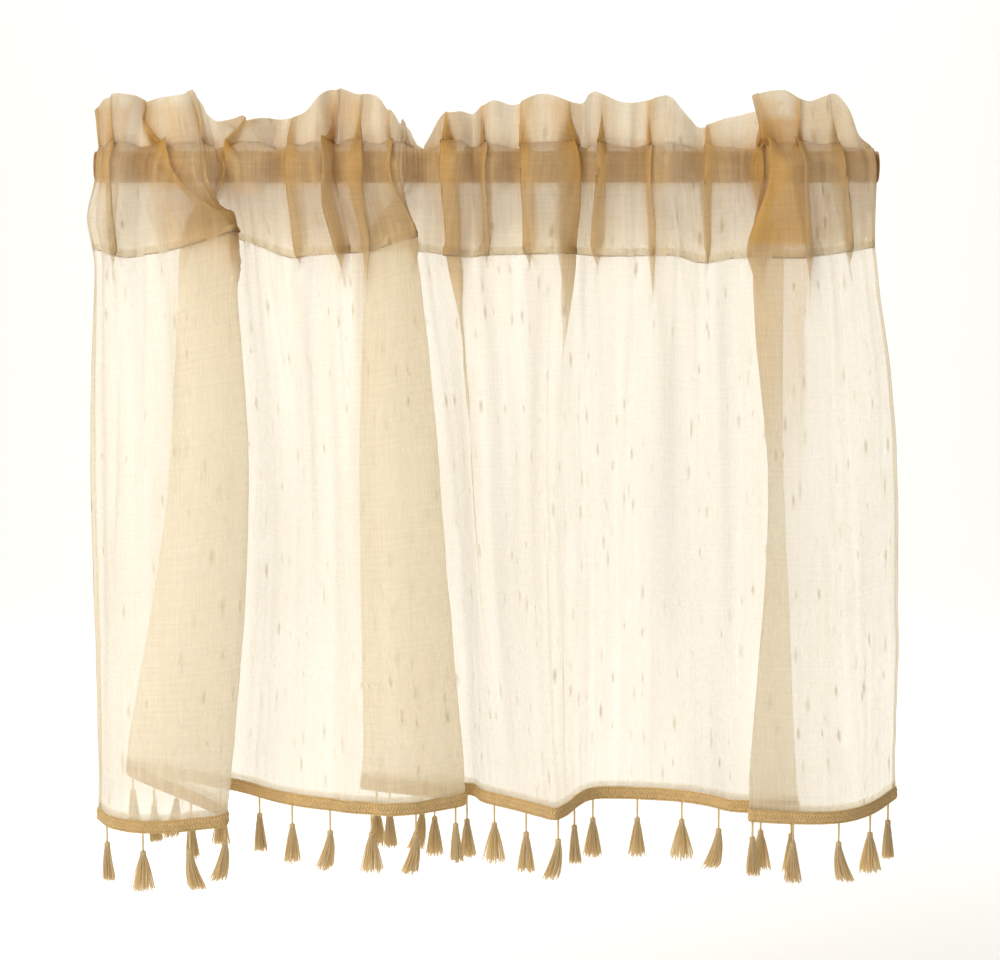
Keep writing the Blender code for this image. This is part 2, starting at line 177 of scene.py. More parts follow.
# Creases listed one by one: from and to a gather's number and a height in millimetres above the rod's axis,
# then the width, and the depth of a trough or, above nought, the height of a ridge.
CREASE_COLUMNS = "from_gather from_z to_gather to_z width depth"
CREASES = (
    (1.6, -68, 1.3, -190, 4.0, -3.2),
    (1.3, -170, 1.0, -330, 4.0, -2.8),
    (0.5, -90, 0.4, -480, 5.0, -2.2),
    (2.6, -74, 2.9, -150, 5.0, 1.3),
    (3.6, -70, 3.8, -260, 6.0, -2.8),
    (8.4, -66, 8.7, -230, 6.0, -2.8),
    (9.6, -74, 9.8, -360, 6.5, 3.2),
    (11.3, -70, 11.5, -260, 5.0, -2.6),
    (10.6, -74, 10.4, -440, 6.0, -2.4),
    (12.4, -70, 12.6, -150, 5.0, 1.2),
    (18.0, -72, 18.9, -210, 5.5, -4.0),
    (19.6, -72, 19.0, -210, 5.5, -3.6),
    (19.0, -200, 19.4, -420, 6.0, -2.4),
    (17.2, -74, 17.4, -300, 6.0, 2.4),
    (18.8, -70, 18.95, -180, 5.0, 2.2),
    (21.4, -72, 21.7, -220, 6.0, 2.0),
    (22.4, -74, 22.0, -400, 6.5, -2.4),
    (23.3, -72, 23.4, -330, 4.5, -3.4),
    (23.2, -300, 23.6, -510, 5.5, -4.2),
    (24.2, -72, 24.8, -112, 4.0, 2.4),
    (24.6, -290, 24.4, -512, 5.5, -3.6),
    (25.6, -72, 25.5, -260, 6.0, 2.4),
    (27.9, -72, 27.0, -260, 5.0, -2.8),
    (29.2, -74, 29.4, -220, 6.0, 2.2),
    (30.3, -76, 30.5, -380, 6.5, -2.8),
    (34.3, -72, 34.3, -230, 4.2, -3.0),
    (34.0, -220, 34.6, -480, 6.0, -2.4),
    (35.2, -72, 35.1, -220, 5.0, 2.2),
    (36.0, -240, 36.0, -390, 4.5, -2.8),
    (36.9, -37, 35.5, -50, 2.6, -1.1),
    (36.9, -59, 36.3, -62, 2.4, -0.8),
    (16.4, -32, 18.0, 0, 2.6, -1.2),
    (21.0, -56, 22.2, -43, 3.4, -0.9),
    (22.2, -45, 22.3, -14, 3.0, -0.8),
    (25.2, 24, 26.5, 21, 2.6, -1.5),
    (27.0, 24, 28.5, 21, 2.6, -1.5),
    (28.6, -18, 30.2, -26, 3.0, -0.9),
    (0.6, -22, 2.2, -34, 3.2, -1.0),
    (0.4, -42, 1.8, -52, 3.2, 0.9),
    (13.2, -48, 14.4, -58, 3.0, -0.9),
    (1.2, 26, 2.6, 22, 2.8, -1.2),
    (34.4, 28, 33.6, 52, 3.0, 1.3),
    (35.4, 22, 36.2, 44, 3.0, -1.1),
    (29.4, 20, 30.6, 30, 3.0, 1.1),
    (31.0, 18, 31.6, 34, 3.0, -1.1),
)

# Pleats listed one by one, where the gathered cloth doubles back on itself: the gathers that each starts and
# ends at, how far below its end it dies out, its width, how far it laps over, and its depth. Above nought
# the left part lies in front, below nought the right. All of them run between the same two heights.
PLEAT_COLUMNS = "from_gather to_gather fade width overlap depth"
PLEATS = (
    (0.9, 1.2, 30, 6, 17, 5),
    (2.6, 5.0, 50, 11, 34, 10),
    (5.6, 5.2, 30, 7, 20, -6),
    (8.5, 6.0, 50, 10, 31, -9),
    (9.5, 9.4, 30, 7, 20, -6),
    (11.6, 11.3, 50, 10, 32, -9),
    (13.2, 12.9, 70, 9, 27, 9),
    (14.4, 14.7, 30, 7, 19, 6),
    (18.4, 18.9, 110, 9, 28, -9),
    (20.6, 20.7, 30, 7, 20, 7),
    (22.3, 22.4, 30, 7, 19, -6),
    (23.8, 24.2, 120, 10, 33, 9),
    (26.3, 26.1, 30, 7, 20, -6),
    (28.2, 28.2, 80, 8, 22, 7),
    (30.4, 30.2, 30, 7, 18, -6),
    (32.5, 32.6, 60, 9, 26, 8),
    (33.4, 33.2, 60, 8, 22, -7),
    (34.6, 34.4, 70, 8, 23, -8),
    (35.7, 35.9, 30, 7, 18, 6),
)
PLEAT_TOP = 70
PLEAT_LOW = -60

# How far a pleat lifts off the cloth as a share of its depth, and how much wider and shallower it
# gets towards the heading's top edge.
PLEAT_LIFT = 0.43
PLEAT_OPENING = 0.35
PLEAT_LOOSENING = 0.55

# How wide a strip the pleats leave flat at the side edges.
PLEAT_FREE_EDGE = 0.02

# How tightly the cloth is gathered, which also sets its painted amber shade: heights in millimetres above
# the rod's axis, then the amount in the pleats and between them. The large amounts between the pleats at the
# rod's height paint the shade of the rod behind the cloth.
TIGHTNESS_AND_SHADE = (
    (-200, 0.00, 0.00),
    (-66, 0.80, 0.08),
    (-20, 0.90, 0.12),
    (-10, 0.95, 0.72),
    (12, 1.05, 0.72),
    (22, 1.15, 0.32),
    (34, 1.20, 0.16),
    (48, 1.00, 0.10),
    (62, 0.50, 0.05),
)

# The overlap at which a pleat's cloth counts as wholly gathered.
FULL_OVERLAP = 25.0

# Stretches painted with amber shade, where several folds of the gathers would lie together and the cloth
# looks densest and darkest: between which gathers and heights, how strong the painted shade is, and how
# softly the lower end fades.
DENSE_COLUMNS = "from_gather to_gather top_z low_z amount low_fade"
DENSE_SHADE_STRETCHES = (
    (-1.0, 1.9, 52, -12, 0.85, 16),
    (3.0, 6.3, 52, 8, 0.60, 16),
    (3.3, 8.4, 8, -22, 0.70, 16),
    (3.4, 4.6, -22, -62, 0.55, 16),
    (4.6, 6.6, -22, -62, 0.70, 16),
    (7.2, 9.0, 46, -10, 0.50, 16),
    (10.8, 12.6, 46, -64, 0.50, 16),
    (12.6, 15.2, 34, -64, 0.55, 16),
    (17.6, 20.4, 40, -64, 0.45, 16),
    (23.2, 25.2, 50, -64, 0.45, 16),
    (27.8, 30.8, 44, -10, 0.35, 16),
    (31.6, 34.7, 42, -64, 1.05, 16),
    # This long stretch paints the shade of a dark fold down the cloth.
    (31.9, 34.2, -64, -205, 0.55, 190),
    (34.7, 37.0, 54, -64, 0.50, 16),
)
DENSE_EDGE = 0.008
DENSE_FADE = 0.016

# The two kinds of slub: the size of the cells that they lie in, how far a fleck reaches in its
# cell, and the share of the cells that hold one.
SLUBS = (
    {"width": 0.0085, "length": 0.037, "reach": 0.28, "share": 0.40},
    {"width": 0.0150, "length": 0.105, "reach": 0.13, "share": 0.36},
)

# The left edge bulges out beside the pocket: how far, at what height, how high and how wide.
EDGE_BULGE = 0.0065
EDGE_BULGE_Z = -0.040
EDGE_BULGE_HEIGHT = 0.022
EDGE_BULGE_REACH = 0.020

# The panel's hems and the gap between its double layers.
SIDE_HEM = 0.005
BOTTOM_HEM = 0.005
HEM_TURN = 0.0016
HEM_GAP = 0.0005
TURN_UNDER = 0.006
HEADING_GAP = 0.0005
HEADING_PUFF = 0.0008

# The braid hangs edge to edge under the cloth, and the tassels under the braid.
SEWN_GAP = 0.0003
BRAID_HEIGHT = 0.0100
BRAID_STRANDS = 5
BRAID_STEPS = 900

# How far the sewing thread stands off the cloth.
STITCH_LIFT = 0.00025

# Each kind of tassel, in millimetres: cord length, how far the threads spread at their ends,
# and how far the ends hang to the right and to the front.
TASSEL_COLUMNS = "cord spread right front"
TASSEL_KINDS = {
    "straight": (15, 7.8, 0, 0),
    "wide": (14, 10.2, 0, 1),
    "left": (16, 7.4, -6, 1),
    "right": (15, 7.4, 6, 0),
    "slim": (13, 5.6, 1, -1),
    "long": (20, 7.2, 1, 1),
}
TASSEL_ORDER = (
    "slim wide right left slim slim slim left straight slim straight left wide "
    "left slim straight slim straight left long wide straight left slim straight straight "
    "wide left wide straight slim straight right wide slim"
).split()


# The stage: the curtain's middle, the room's colour, and the floor that curves up behind.
MIDDLE = Vector((0.3232, 0.0, -0.2516))
ROOM_COLOR = (1.0, 0.985, 0.96)
FLOOR_FRONT = -3.0
FLOOR_BACK = 2.9
FLOOR_CURVE = 0.9
FLOOR_CURVE_STEPS = 14
FLOOR_HALF_WIDTH = 4.0
BACKDROP_HEIGHT = 3.2

# What chance gives each thread of a tassel: its cut length, and how far it strays out and round.
TASSEL_CHANCES = (("cut", 0.90, 1.03), ("stray", -1.0, 1.0), ("lean", -1.0, 1.0))


def rows_of(columns, table):
    """A table's rows as named values."""
    return [dict(zip(columns.split(), row)) for row in table]


def column(rows, columns, name):
    """One named column of a table, in metres."""
    return np.array([row[name] for row in rows_of(columns, rows)], float) * MM


def heading(name):
    return column(HEADING, HEADING_COLUMNS, name)


def folds(name):
    return column(FOLDS, FOLD_COLUMNS, name)


def flat_places():
    """Where each gather lies along the flat cloth, from the mean of its spacing at four heights."""
    heights = (
        (heading("rod_x"), heading("front")),
        (folds("seam_x"), folds("seam_y")),
        (folds("mid_x"), folds("mid_y")),
        (folds("hem_x"), folds("hem_y")),
    )
    steps = np.mean([np.hypot(np.diff(x), np.diff(y)) for x, y in heights], axis=0)
    return np.concatenate(([0.0], np.cumsum(steps)))


PLACES = flat_places()
WIDTH = PLACES[-1]


def through(places, values, at):
    """A smooth curve through values at places, read at other places."""
    slopes = np.gradient(values, places)
    slopes[1:-1] = (values[2:] - values[:-2]) / (places[2:] - places[:-2])
    k = np.clip(np.searchsorted(places, at, side="right") - 1, 0, len(places) - 2)
    width = places[k + 1] - places[k]
    t = (at - places[k]) / width
    return bent(values[k], values[k + 1], width * slopes[k], width * slopes[k + 1], t)


def bent(a, b, start, end, t):
    """A cubic from a to b that leaves and arrives with the given slopes."""
    return mix(a, b, ease(t)) + (t - 2 * t**2 + t**3) * start + (t**3 - t**2) * end


def ease(t):
    return 3 * t**2 - 2 * t**3


def fade(t):
    """Eased from nought to one, and held at both."""
    return ease(np.clip(t, 0.0, 1.0))


def mix(a, b, t):
    return a + (b - a) * t


def unit(vectors):
    return vectors / np.linalg.norm(vectors, axis=-1, keepdims=True)


def place_of(gather):
    """Where a gather's number lies along the flat cloth."""
    return np.interp(gather, np.arange(len(PLACES)), PLACES)


def soft_noise(x, y, cell_x, cell_y, seed):
    """Smooth random hills between -1 and 1 on cells of the given size."""
    rng = np.random.default_rng(seed)
    lattice = rng.uniform(-1.0, 1.0, (256, 256))
    gx, gy = x / cell_x + 32, y / cell_y + 32
    ix, iy = np.floor(gx).astype(int), np.floor(gy).astype(int)
    tx, ty = ease(gx - ix), ease(gy - iy)
    ix, iy = ix % 255, iy % 255
    low = mix(lattice[iy, ix], lattice[iy, ix + 1], tx)
    high = mix(lattice[iy + 1, ix], lattice[iy + 1, ix + 1], tx)
    return mix(low, high, ty)


class Drape:
    """The middle surfaces of the hanging cloth, read at places along its flat width."""

    START_HASTE = 1.2
    MID_HASTE = 0.45

    def __init__(self, at):
        for name in HEADING_COLUMNS.split():
            setattr(self, name, through(PLACES, heading(name), at))
        for name in FOLD_COLUMNS.split():
            setattr(self, name, through(PLACES, folds(name), at))
        self.front = np.minimum(self.front, -SNUG)
        self.back = np.maximum(self.back, SNUG)
        sway = STITCH_SWAY * (self.front + self.back) / 2
        self.stitch_y = np.clip(sway, -STITCH_SWAY_LIMIT, STITCH_SWAY_LIMIT)
        gap = STITCH_GAP_SNUG + STITCH_GAP_RATE * (-self.front - SNUG)
        self.stitch_radius = ROD_RADIUS + np.clip(gap, STITCH_GAP_SNUG, STITCH_GAP_PUFFED)
        self.stitch_z = np.sqrt(self.stitch_radius**2 - self.stitch_y**2)
        self.stitch_x = mix(self.rod_x, self.top_x, STITCH_X_SHARE)

    def heading_line(self, t):
        """Across the heading, from the stitch line at 0, through its middle row, to its top at 1."""
        ends = (
            (self.stitch_x, self.top_x, HEADING_HALF_X),
            (self.stitch_y, self.top_y, HEADING_HALF_Y),
            (self.stitch_z, self.top_z, HEADING_HALF_Z),
        )
        lines = [a + (b - a) * (t + (4 * half - 2) * t * (1 - t)) for a, b, half in ends]
        return np.stack(lines, axis=-1)

    def pocket_line(self, side, t):
        """Round the rod, from the stitch line at 0 to the rod's side at 1, and on to the seam at 2."""
        beside = self.front if side < 0 else self.back
        if t <= 1.0:
            turn = math.pi if side < 0 else 0.0
            angle = mix(np.arctan2(self.stitch_z, self.stitch_y), turn, t)
            radius = np.maximum(mix(self.stitch_radius, SNUG, t), SNUG * fade(4 * t))
            stand_off = (np.abs(beside) - SNUG) * ease(t) * side
            y, z = radius * np.cos(angle) + stand_off, radius * np.sin(angle)
            return np.stack((mix(self.stitch_x, self.rod_x, t), y, z), axis=-1)
        down = t - 1.0
        x = mix(self.rod_x, self.seam_x, ease(down))
        return np.stack((x, mix(beside, self.seam_y, ease(down)), self.seam_z * down), axis=-1)

    def fall_line(self, t):
        """Down the single cloth, from the seam at 0 to the hem at 1."""
        x = self.between(t, self.seam_x, self.mid_x, self.hem_x)
        y = self.between(t, self.seam_y, self.mid_y, self.hem_y)
        spread = mix(x, ROD_LENGTH / 2 + (x - ROD_LENGTH / 2) * HEM_FLARE, t)
        return np.stack((spread, y, mix(self.seam_z, self.hem_lift - HEM_DROP, t)), axis=-1)

    def between(self, t, seam, mid, hem):
        """A curve down the cloth: quick to leave the gathers, then nearly straight."""
        upper, lower = mid - seam, hem - mid
        at_mid = (self.MID_HASTE * upper / MID_SHARE + lower / (1 - MID_SHARE)) / 2
        if t < MID_SHARE:
            return bent(seam, mid, self.START_HASTE * upper, at_mid * MID_SHARE, t / MID_SHARE)
        below = (t - MID_SHARE) / (1 - MID_SHARE)
        return bent(mid, hem, at_mid * (1 - MID_SHARE), lower, below)


def math_method(operation, flipped=False):
    """A method that joins two values with a math node."""

    def method(self, other):
        pair = (other, self) if flipped else (self, other)
        return self.graph.math(operation, *pair)

    return method


class Value:
    """An output in a node tree. Sums and products with it add the nodes that they need."""

    def __init__(self, graph, socket):
        self.graph = graph
        self.socket = socket

    def __getitem__(self, name):
        """Another output of the same node."""
        return Value(self.graph, self.socket.node.outputs[name])

    __add__ = __radd__ = math_method("ADD")
    __mul__ = __rmul__ = math_method("MULTIPLY")
    __sub__ = math_method("SUBTRACT")
    __rsub__ = math_method("SUBTRACT", flipped=True)
    __truediv__ = math_method("DIVIDE")
    __rtruediv__ = math_method("DIVIDE", flipped=True)
    __pow__ = math_method("POWER")


class Graph:
    """A node tree being built: each call adds a node, feeds it and gives back its output."""

    def __init__(self, name, kind, inputs, outputs):
        self.tree = bpy.data.node_groups.new(name, kind)
        for label, value in inputs.items():
            if isinstance(value, str):
                self.new_socket(label, "INPUT", value)
            else:
                made = self.new_socket(label, "INPUT", type(value).__name__)
                made.default_value = value
        for label, kind in outputs.items():
            self.new_socket(label, "OUTPUT", kind)
        self.given = Value(self, self.tree.nodes.new("NodeGroupInput").outputs[0])
        self.result = self.tree.nodes.new("NodeGroupOutput").inputs

    def new_socket(self, label, way, kind):
        kind = f"NodeSocket{kind.capitalize()}"
        return self.tree.interface.new_socket(label, in_out=way, socket_type=kind)

    @classmethod
    def of_shader(cls, name, inputs, outputs):
        return cls(name, "ShaderNodeTree", inputs, outputs)

    @classmethod
    def of_geometry(cls, name, inputs):
        return cls(name, "GeometryNodeTree", {"Geometry": "geometry", **inputs}, {"Geometry": "geometry"})

    @classmethod
    def of_material(cls, name):
        """The tree of a new material, with its output's surface as the result."""
        graph = cls.__new__(cls)
        graph.material = bpy.data.materials.new(name)
        graph.material.use_nodes = True
        graph.tree = graph.material.node_tree
        graph.tree.nodes.clear()
        graph.result = graph.tree.nodes.new("ShaderNodeOutputMaterial").inputs
        return graph

    def add(self, kind, inputs=None, output=0, **settings):
        node = self.tree.nodes.new(kind)
        for name, value in settings.items():
            setattr(node, name, value)
        for key, value in (inputs or {}).items():
            self.feed(node.inputs[key], value)
        return Value(self, node.outputs[output])

    def feed(self, socket, value):
        if isinstance(value, Value):
            self.tree.links.new(value.socket, socket)
        elif socket.type == "RGBA":
            socket.default_value = (*value, 1.0)
        else:
            socket.default_value = value

    def give(self, **results):
        for name, value in results.items():
            self.feed(self.result[name], value)
        return self

    def math(self, operation, *values):
        return self.add("ShaderNodeMath", dict(enumerate(values)), operation=operation)

    def vector_math(self, operation, *values, **named):
        inputs = {**dict(enumerate(values)), **named}
        return self.add("ShaderNodeVectorMath", inputs, operation=operation)

    def vector(self, x, y, z):
        return self.add("ShaderNodeCombineXYZ", {0: x, 1: y, 2: z})

    def scaled(self, vector, by):
        return self.vector_math("SCALE", vector, Scale=by)

    def stretched(self, vector, x, y, z=1.0):
        """A vector with each axis stretched by its own amount."""
        return self.vector_math("MULTIPLY", vector, (x, y, z))

    def parts(self, vector):
        return self.add("ShaderNodeSeparateXYZ", {0: vector})

    def ramp(self, value, low, high, to_low=0.0, to_high=1.0):
        """A value carried smoothly from one span to another."""
        spans = {0: value, 1: low, 2: high, 3: to_low, 4: to_high}
        return self.add("ShaderNodeMapRange", spans, interpolation_type="SMOOTHSTEP")

    def blend(self, share, a, b):
        """One colour mixed into another."""
        return self.add("ShaderNodeMix", {0: share, 6: a, 7: b}, output=2, data_type="RGBA")

    def noise(self, vector, scale, detail=0.0, roughness=0.5, dimensions="3D"):
        sizes = {"Vector": vector, "Scale": scale, "Detail": detail, "Roughness": roughness}
        return self.add("ShaderNodeTexNoise", sizes, noise_dimensions=dimensions)

    def group(self, graph, inputs):
        """Another graph placed in this one."""
        kind = "GeometryNodeGroup" if self.tree.type == "GEOMETRY" else "ShaderNodeGroup"
        return self.add(kind, inputs, node_tree=graph.tree)

    def effect(self, make, inputs):
        """A shared effect placed in this graph, with its own graph made the first time."""
        if make.__name__ not in bpy.data.node_groups:
            make()
        return self.add("ShaderNodeGroup", inputs, node_tree=bpy.data.node_groups[make.__name__])

    def bumped(self, height, strength, distance):
        inputs = {"Height": height, "Strength": strength, "Distance": distance}
        return self.add("ShaderNodeBump", inputs, output="Normal")

    def attribute(self, name, kind="FLOAT"):
        return self.add("GeometryNodeInputNamedAttribute", {"Name": name}, data_type=kind)

    def stored(self, geometry, name, value, kind="FLOAT"):
        inputs = {"Geometry": geometry, "Name": name, "Value": value}
        return self.add("GeometryNodeStoreNamedAttribute", inputs, data_type=kind, domain="POINT")

    def resampled(self, curve, step):
        inputs = {"Curve": curve, "Length": step}
        return self.add("GeometryNodeResampleCurve", inputs, mode="LENGTH")

    def swept(self, curve, section):
        inputs = {"Curve": curve, "Profile Curve": section, "Fill Caps": True}
        return self.add("GeometryNodeCurveToMesh", inputs)

    def tube(self, curve, sides, radius):
        """A capped tube along a curve."""
        sizes = {"Resolution": sides, "Radius": radius}
        return self.swept(curve, self.add("GeometryNodeCurvePrimitiveCircle", sizes))

    def joined(self, geometries):
        node = self.tree.nodes.new("GeometryNodeJoinGeometry")
        for geometry in reversed(geometries):
            self.tree.links.new(geometry.socket, node.inputs[0])
        return Value(self, node.outputs[0])

    def finished(self, geometry, material):
        """Ends a geometry tree: instances made real, smooth, and one material set."""
        real = self.add("GeometryNodeRealizeInstances", {"Geometry": geometry})
        smooth = self.add("GeometryNodeSetShadeSmooth", {"Geometry": real})
        inputs = {"Geometry": smooth, "Material": material}
        return self.give(Geometry=self.add("GeometryNodeSetMaterial", inputs))


def new_piece(name, mesh):
    piece = bpy.data.objects.new(name, mesh)
    bpy.context.scene.collection.objects.link(piece)
    return piece


def grown(name, guide, graph, values):
    """Runs a geometry tree on a guide mesh and keeps the plain mesh that it makes."""
    piece = new_piece(name, guide)
    modifier = piece.modifiers.new("grow", "NODES")
    modifier.node_group = graph.tree
    for item in graph.tree.interface.items_tree:
        if item.in_out == "INPUT" and item.name in values:
            modifier[item.identifier] = values[item.name]
    evaluated = piece.evaluated_get(bpy.context.evaluated_depsgraph_get())
    mesh = bpy.data.meshes.new_from_object(evaluated)
    piece.modifiers.remove(modifier)
    piece.data = mesh
    mesh.name = name
    if not mesh.polygons:
        raise RuntimeError(f"{name} came out empty")
    return piece


def line_mesh(name, lines, **attributes):
    """Open lines of points as the edges of one mesh, with named values at the points."""
    mesh = bpy.data.meshes.new(name)
    points, edges = [], []
    for line in lines:
        edges += [(len(points) + i, len(points) + i + 1) for i in range(len(line) - 1)]
        points += [tuple(point) for point in line]
    mesh.from_pydata(points, edges, [])
    for key, values in attributes.items():
        mesh.attributes.new(key, "FLOAT", "POINT").data.foreach_set("value", values)
    return mesh


def tone_drift():
    """A slow drift of one colour towards another, as dye and age leave it."""
    inputs = {
        "Vector": "vector",
        "Scale": 6.0,
        "Amount": 0.5,
        "Color": "color",
        "Drift": "color",
    }
    graph = Graph.of_shader("tone_drift", inputs, {"Color": "color"})
    given = graph.given
    share = graph.ramp(graph.noise(given["Vector"], given["Scale"]), 0.35, 0.65) * given["Amount"]
    graph.give(Color=graph.blend(share, given["Color"], given["Drift"]))


def slub_weave():
    """A loose plain weave with uneven upright threads and dark slubs, and painted amber shade where the
    cloth is gathered. Coordinates in metres.
    """
    inputs = {
        "Vector": "vector",
        "Thread pitch": 0.0009,
        "Streaks": 0.5,
        "Slubs": 0.5,
        "Cover": 0.35,
        "Gathered": 0.0,
        "Cloth": "color",
        "Painted layer shade": "color",
        "Slub color": "color",
    }
    outputs = {"Color": "color", "Alpha": "float", "Height": "float"}
    graph = Graph.of_shader("slub_weave", inputs, outputs)
    given = graph.given
    place = given["Vector"]

    def uneven(across, along, detail=0.0):
        return graph.noise(graph.stretched(place, across, along), 1.0, detail, dimensions="2D")

    def flecks(slub):
        """Soft flecks of one kind of slub, of chance size and strength, in a share of its cells."""
        cells = graph.stretched(place, 1 / slub["width"], 1 / slub["length"])
        node = {"Vector": cells, "Scale": 1.0}
        spots = graph.add("ShaderNodeTexVoronoi", node, voronoi_dimensions="2D")
        chance = graph.parts(spots["Color"])
        size = graph.ramp(chance[2], 0.0, 1.0, 0.45, 1.0)
        near = graph.ramp(spots["Distance"] / size, slub["reach"], slub["reach"] * 0.05)
        chosen = graph.math("LESS_THAN", chance[0], slub["share"])
        return near * chosen * graph.ramp(chance[1], 0.0, 1.0, 0.25, 0.9)

    wander = (uneven(60.0, 12.0) - 0.5) * 0.0012
    along = graph.parts(place)
    turns = 2 * math.pi / given["Thread pitch"]
    warp = graph.math("SINE", (along[0] + wander) * turns)
    weft = graph.math("SINE", along[1] * turns)
    threads = (warp + weft) * 0.25
    streak = uneven(620.0, 22.0, detail=1.0) + uneven(170.0, 6.0) * 0.9 + uneven(30.0, 420.0) * 0.45
    streak = (streak - 1.175) * given["Streaks"] * 2.0
    short, long = (flecks(slub) for slub in SLUBS)
    slubs = graph.math("MAXIMUM", short, long) * given["Slubs"]
    # Painted shade: gathered cloth is tinted towards a darker amber that stands in for light through stacked
    # layers.
    base = graph.blend(given["Gathered"], given["Cloth"], given["Painted layer shade"])
    tinted = graph.blend(slubs, base, given["Slub color"])
    cover = given["Cover"] + threads * 0.22 + streak * 0.30 + given["Gathered"] * 0.42 + slubs
    graph.give(
        Color=graph.scaled(tinted, graph.ramp(streak, -0.6, 0.6, 0.90, 1.06)),
        Alpha=graph.math("MINIMUM", graph.math("MAXIMUM", cover, 0.12), 1.0),
        Height=graph.math("SINE", along[0] * turns) + weft,
    )


def yarn_fibre():
    """Fine fibres on spun yarn, with random streaks of them turned towards the darker colour. Object
    coordinates, in metres.
    """
    inputs = {
        "Vector": "vector",
        "Scale": 1.0,
        "Contrast": 0.5,
        "Yarn": "color",
        "Shade": "color",
    }
    graph = Graph.of_shader("yarn_fibre", inputs, {"Color": "color", "Height": "float"})
    given = graph.given
    vector = graph.scaled(given["Vector"], given["Scale"])
    fibre = graph.noise(graph.stretched(vector, 2600.0, 2600.0, 500.0), 1.0, 3.0, 0.6)
    share = graph.ramp(fibre + graph.noise(vector, 190.0) * 0.6, 0.55, 1.05) * given["Contrast"]
    graph.give(Color=graph.blend(share, given["Yarn"], given["Shade"]), Height=fibre)


def wood_grain():
    """Straight grain along X with darker pores, in object coordinates."""
    inputs = {"Vector": "vector", "Light": "color", "Dark": "color"}
    outputs = {"Color": "color", "Roughness": "float", "Height": "float"}
    graph = Graph.of_shader("wood_grain", inputs, outputs)
    given = graph.given

    def grain(along, across, detail, roughness):
        return graph.noise(graph.stretched(given["Vector"], along, across, across), 1.0, detail, roughness)

    rings = grain(4.0, 160.0, 4.0, 0.65)
    pores = grain(40.0, 1800.0, 2.0, 0.5)
    share = graph.ramp(rings, 0.35, 0.68) + graph.ramp(pores, 0.56, 0.70) * 0.45
    dark = graph.math("MINIMUM", share, 1.0)
    graph.give(
        Color=graph.blend(dark, given["Light"], given["Dark"]),
        Roughness=graph.ramp(dark, 0.0, 1.0, 0.42, 0.60),
        Height=rings - pores,
    )


def linen_material(settings):
    """Sheer cloth: it lets light through between its threads, and glows with the light behind."""
    graph = Graph.of_material("linen")
    uv = graph.add("ShaderNodeUVMap", uv_map="cloth")
    drift = graph.effect(tone_drift, {
        "Vector": uv,
        "Scale": 9.0,
        "Color": settings.cloth_color,
        "Drift": settings.cloth_drift,
    })
    weave = graph.effect(slub_weave, {
        "Vector": uv,
        "Thread pitch": settings.thread_pitch,
        "Streaks": settings.streaks,
        "Slubs": settings.slubs,
        "Cover": settings.cover,
        # The gathered mask places the painted layer shade: amber where layers stack, in the pleats and in
        # front of the rod.
        "Gathered": graph.add("ShaderNodeAttribute", output="Fac", attribute_name="gathered"),
        "Cloth": drift["Color"],
        "Painted layer shade": settings.gathered_color,
        "Slub color": settings.slub_color,
    })
    normal = graph.bumped(weave["Height"], 0.35, 0.0001)
    cloth = graph.add("ShaderNodeBsdfPrincipled", {
        "Base Color": weave["Color"],
        "Roughness": 0.92,
        "Alpha": weave["Alpha"],
        "Normal": normal,
        "Specular IOR Level": 0.0,
    })
    glow = graph.add("ShaderNodeBsdfTranslucent", {"Color": settings.glow_color, "Normal": normal})
    shaders = {0: settings.glow_share, 1: cloth, 2: glow}
    return graph.give(Surface=graph.add("ShaderNodeMixShader", shaders)).material


def yarn_material(name, color, darker, glow, contrast=0.5, scale=1.0, glow_share=0.3):
    """Soft spun yarn with fibres that are darker by a share, and a little light through it."""
    shade = tuple(c * darker for c in color)
    graph = Graph.of_material(name)
    place = graph.add("ShaderNodeTexCoord", output="Object")
    drift = graph.effect(tone_drift, {
        "Vector": place,
        "Scale": 30.0,
        "Color": color,
        "Drift": tuple(mix(c, s, 0.35) for c, s in zip(color, shade)),
    })
    fibre = graph.effect(yarn_fibre, {
        "Vector": place,
        "Scale": scale,
        "Contrast": contrast,
        "Yarn": drift["Color"],
        "Shade": shade,
    })
    yarn = graph.add("ShaderNodeBsdfPrincipled", {
        "Base Color": fibre["Color"],
        "Roughness": 0.82,
        "Normal": graph.bumped(fibre["Height"], 0.5, 0.0002),
        "Sheen Weight": 0.25,
        "Specular IOR Level": 0.25,
    })
    lit = graph.add("ShaderNodeBsdfTranslucent", {"Color": glow})
    shaders = {0: glow_share, 1: yarn, 2: lit}
    return graph.give(Surface=graph.add("ShaderNodeMixShader", shaders)).material


def wood_material(settings):
    graph = Graph.of_material("wood")
    grain = graph.effect(wood_grain, {
        "Vector": graph.add("ShaderNodeTexCoord", output="Object"),
        "Light": settings.wood_color,
        "Dark": settings.wood_dark,
    })
    return graph.give(Surface=graph.add("ShaderNodeBsdfPrincipled", {
        "Base Color": grain["Color"],
        "Roughness": grain["Roughness"],
        "Normal": graph.bumped(grain["Height"], 0.25, 0.0003),
        "Coat Weight": 0.15,
        "Coat Roughness": 0.35,
    })).material


def stage_material(name, color):
    graph = Graph.of_material(name)
    paint = {"Base Color": color, "Roughness": 0.9, "Specular IOR Level": 0.0}
    return graph.give(Surface=graph.add("ShaderNodeBsdfPrincipled", paint)).material


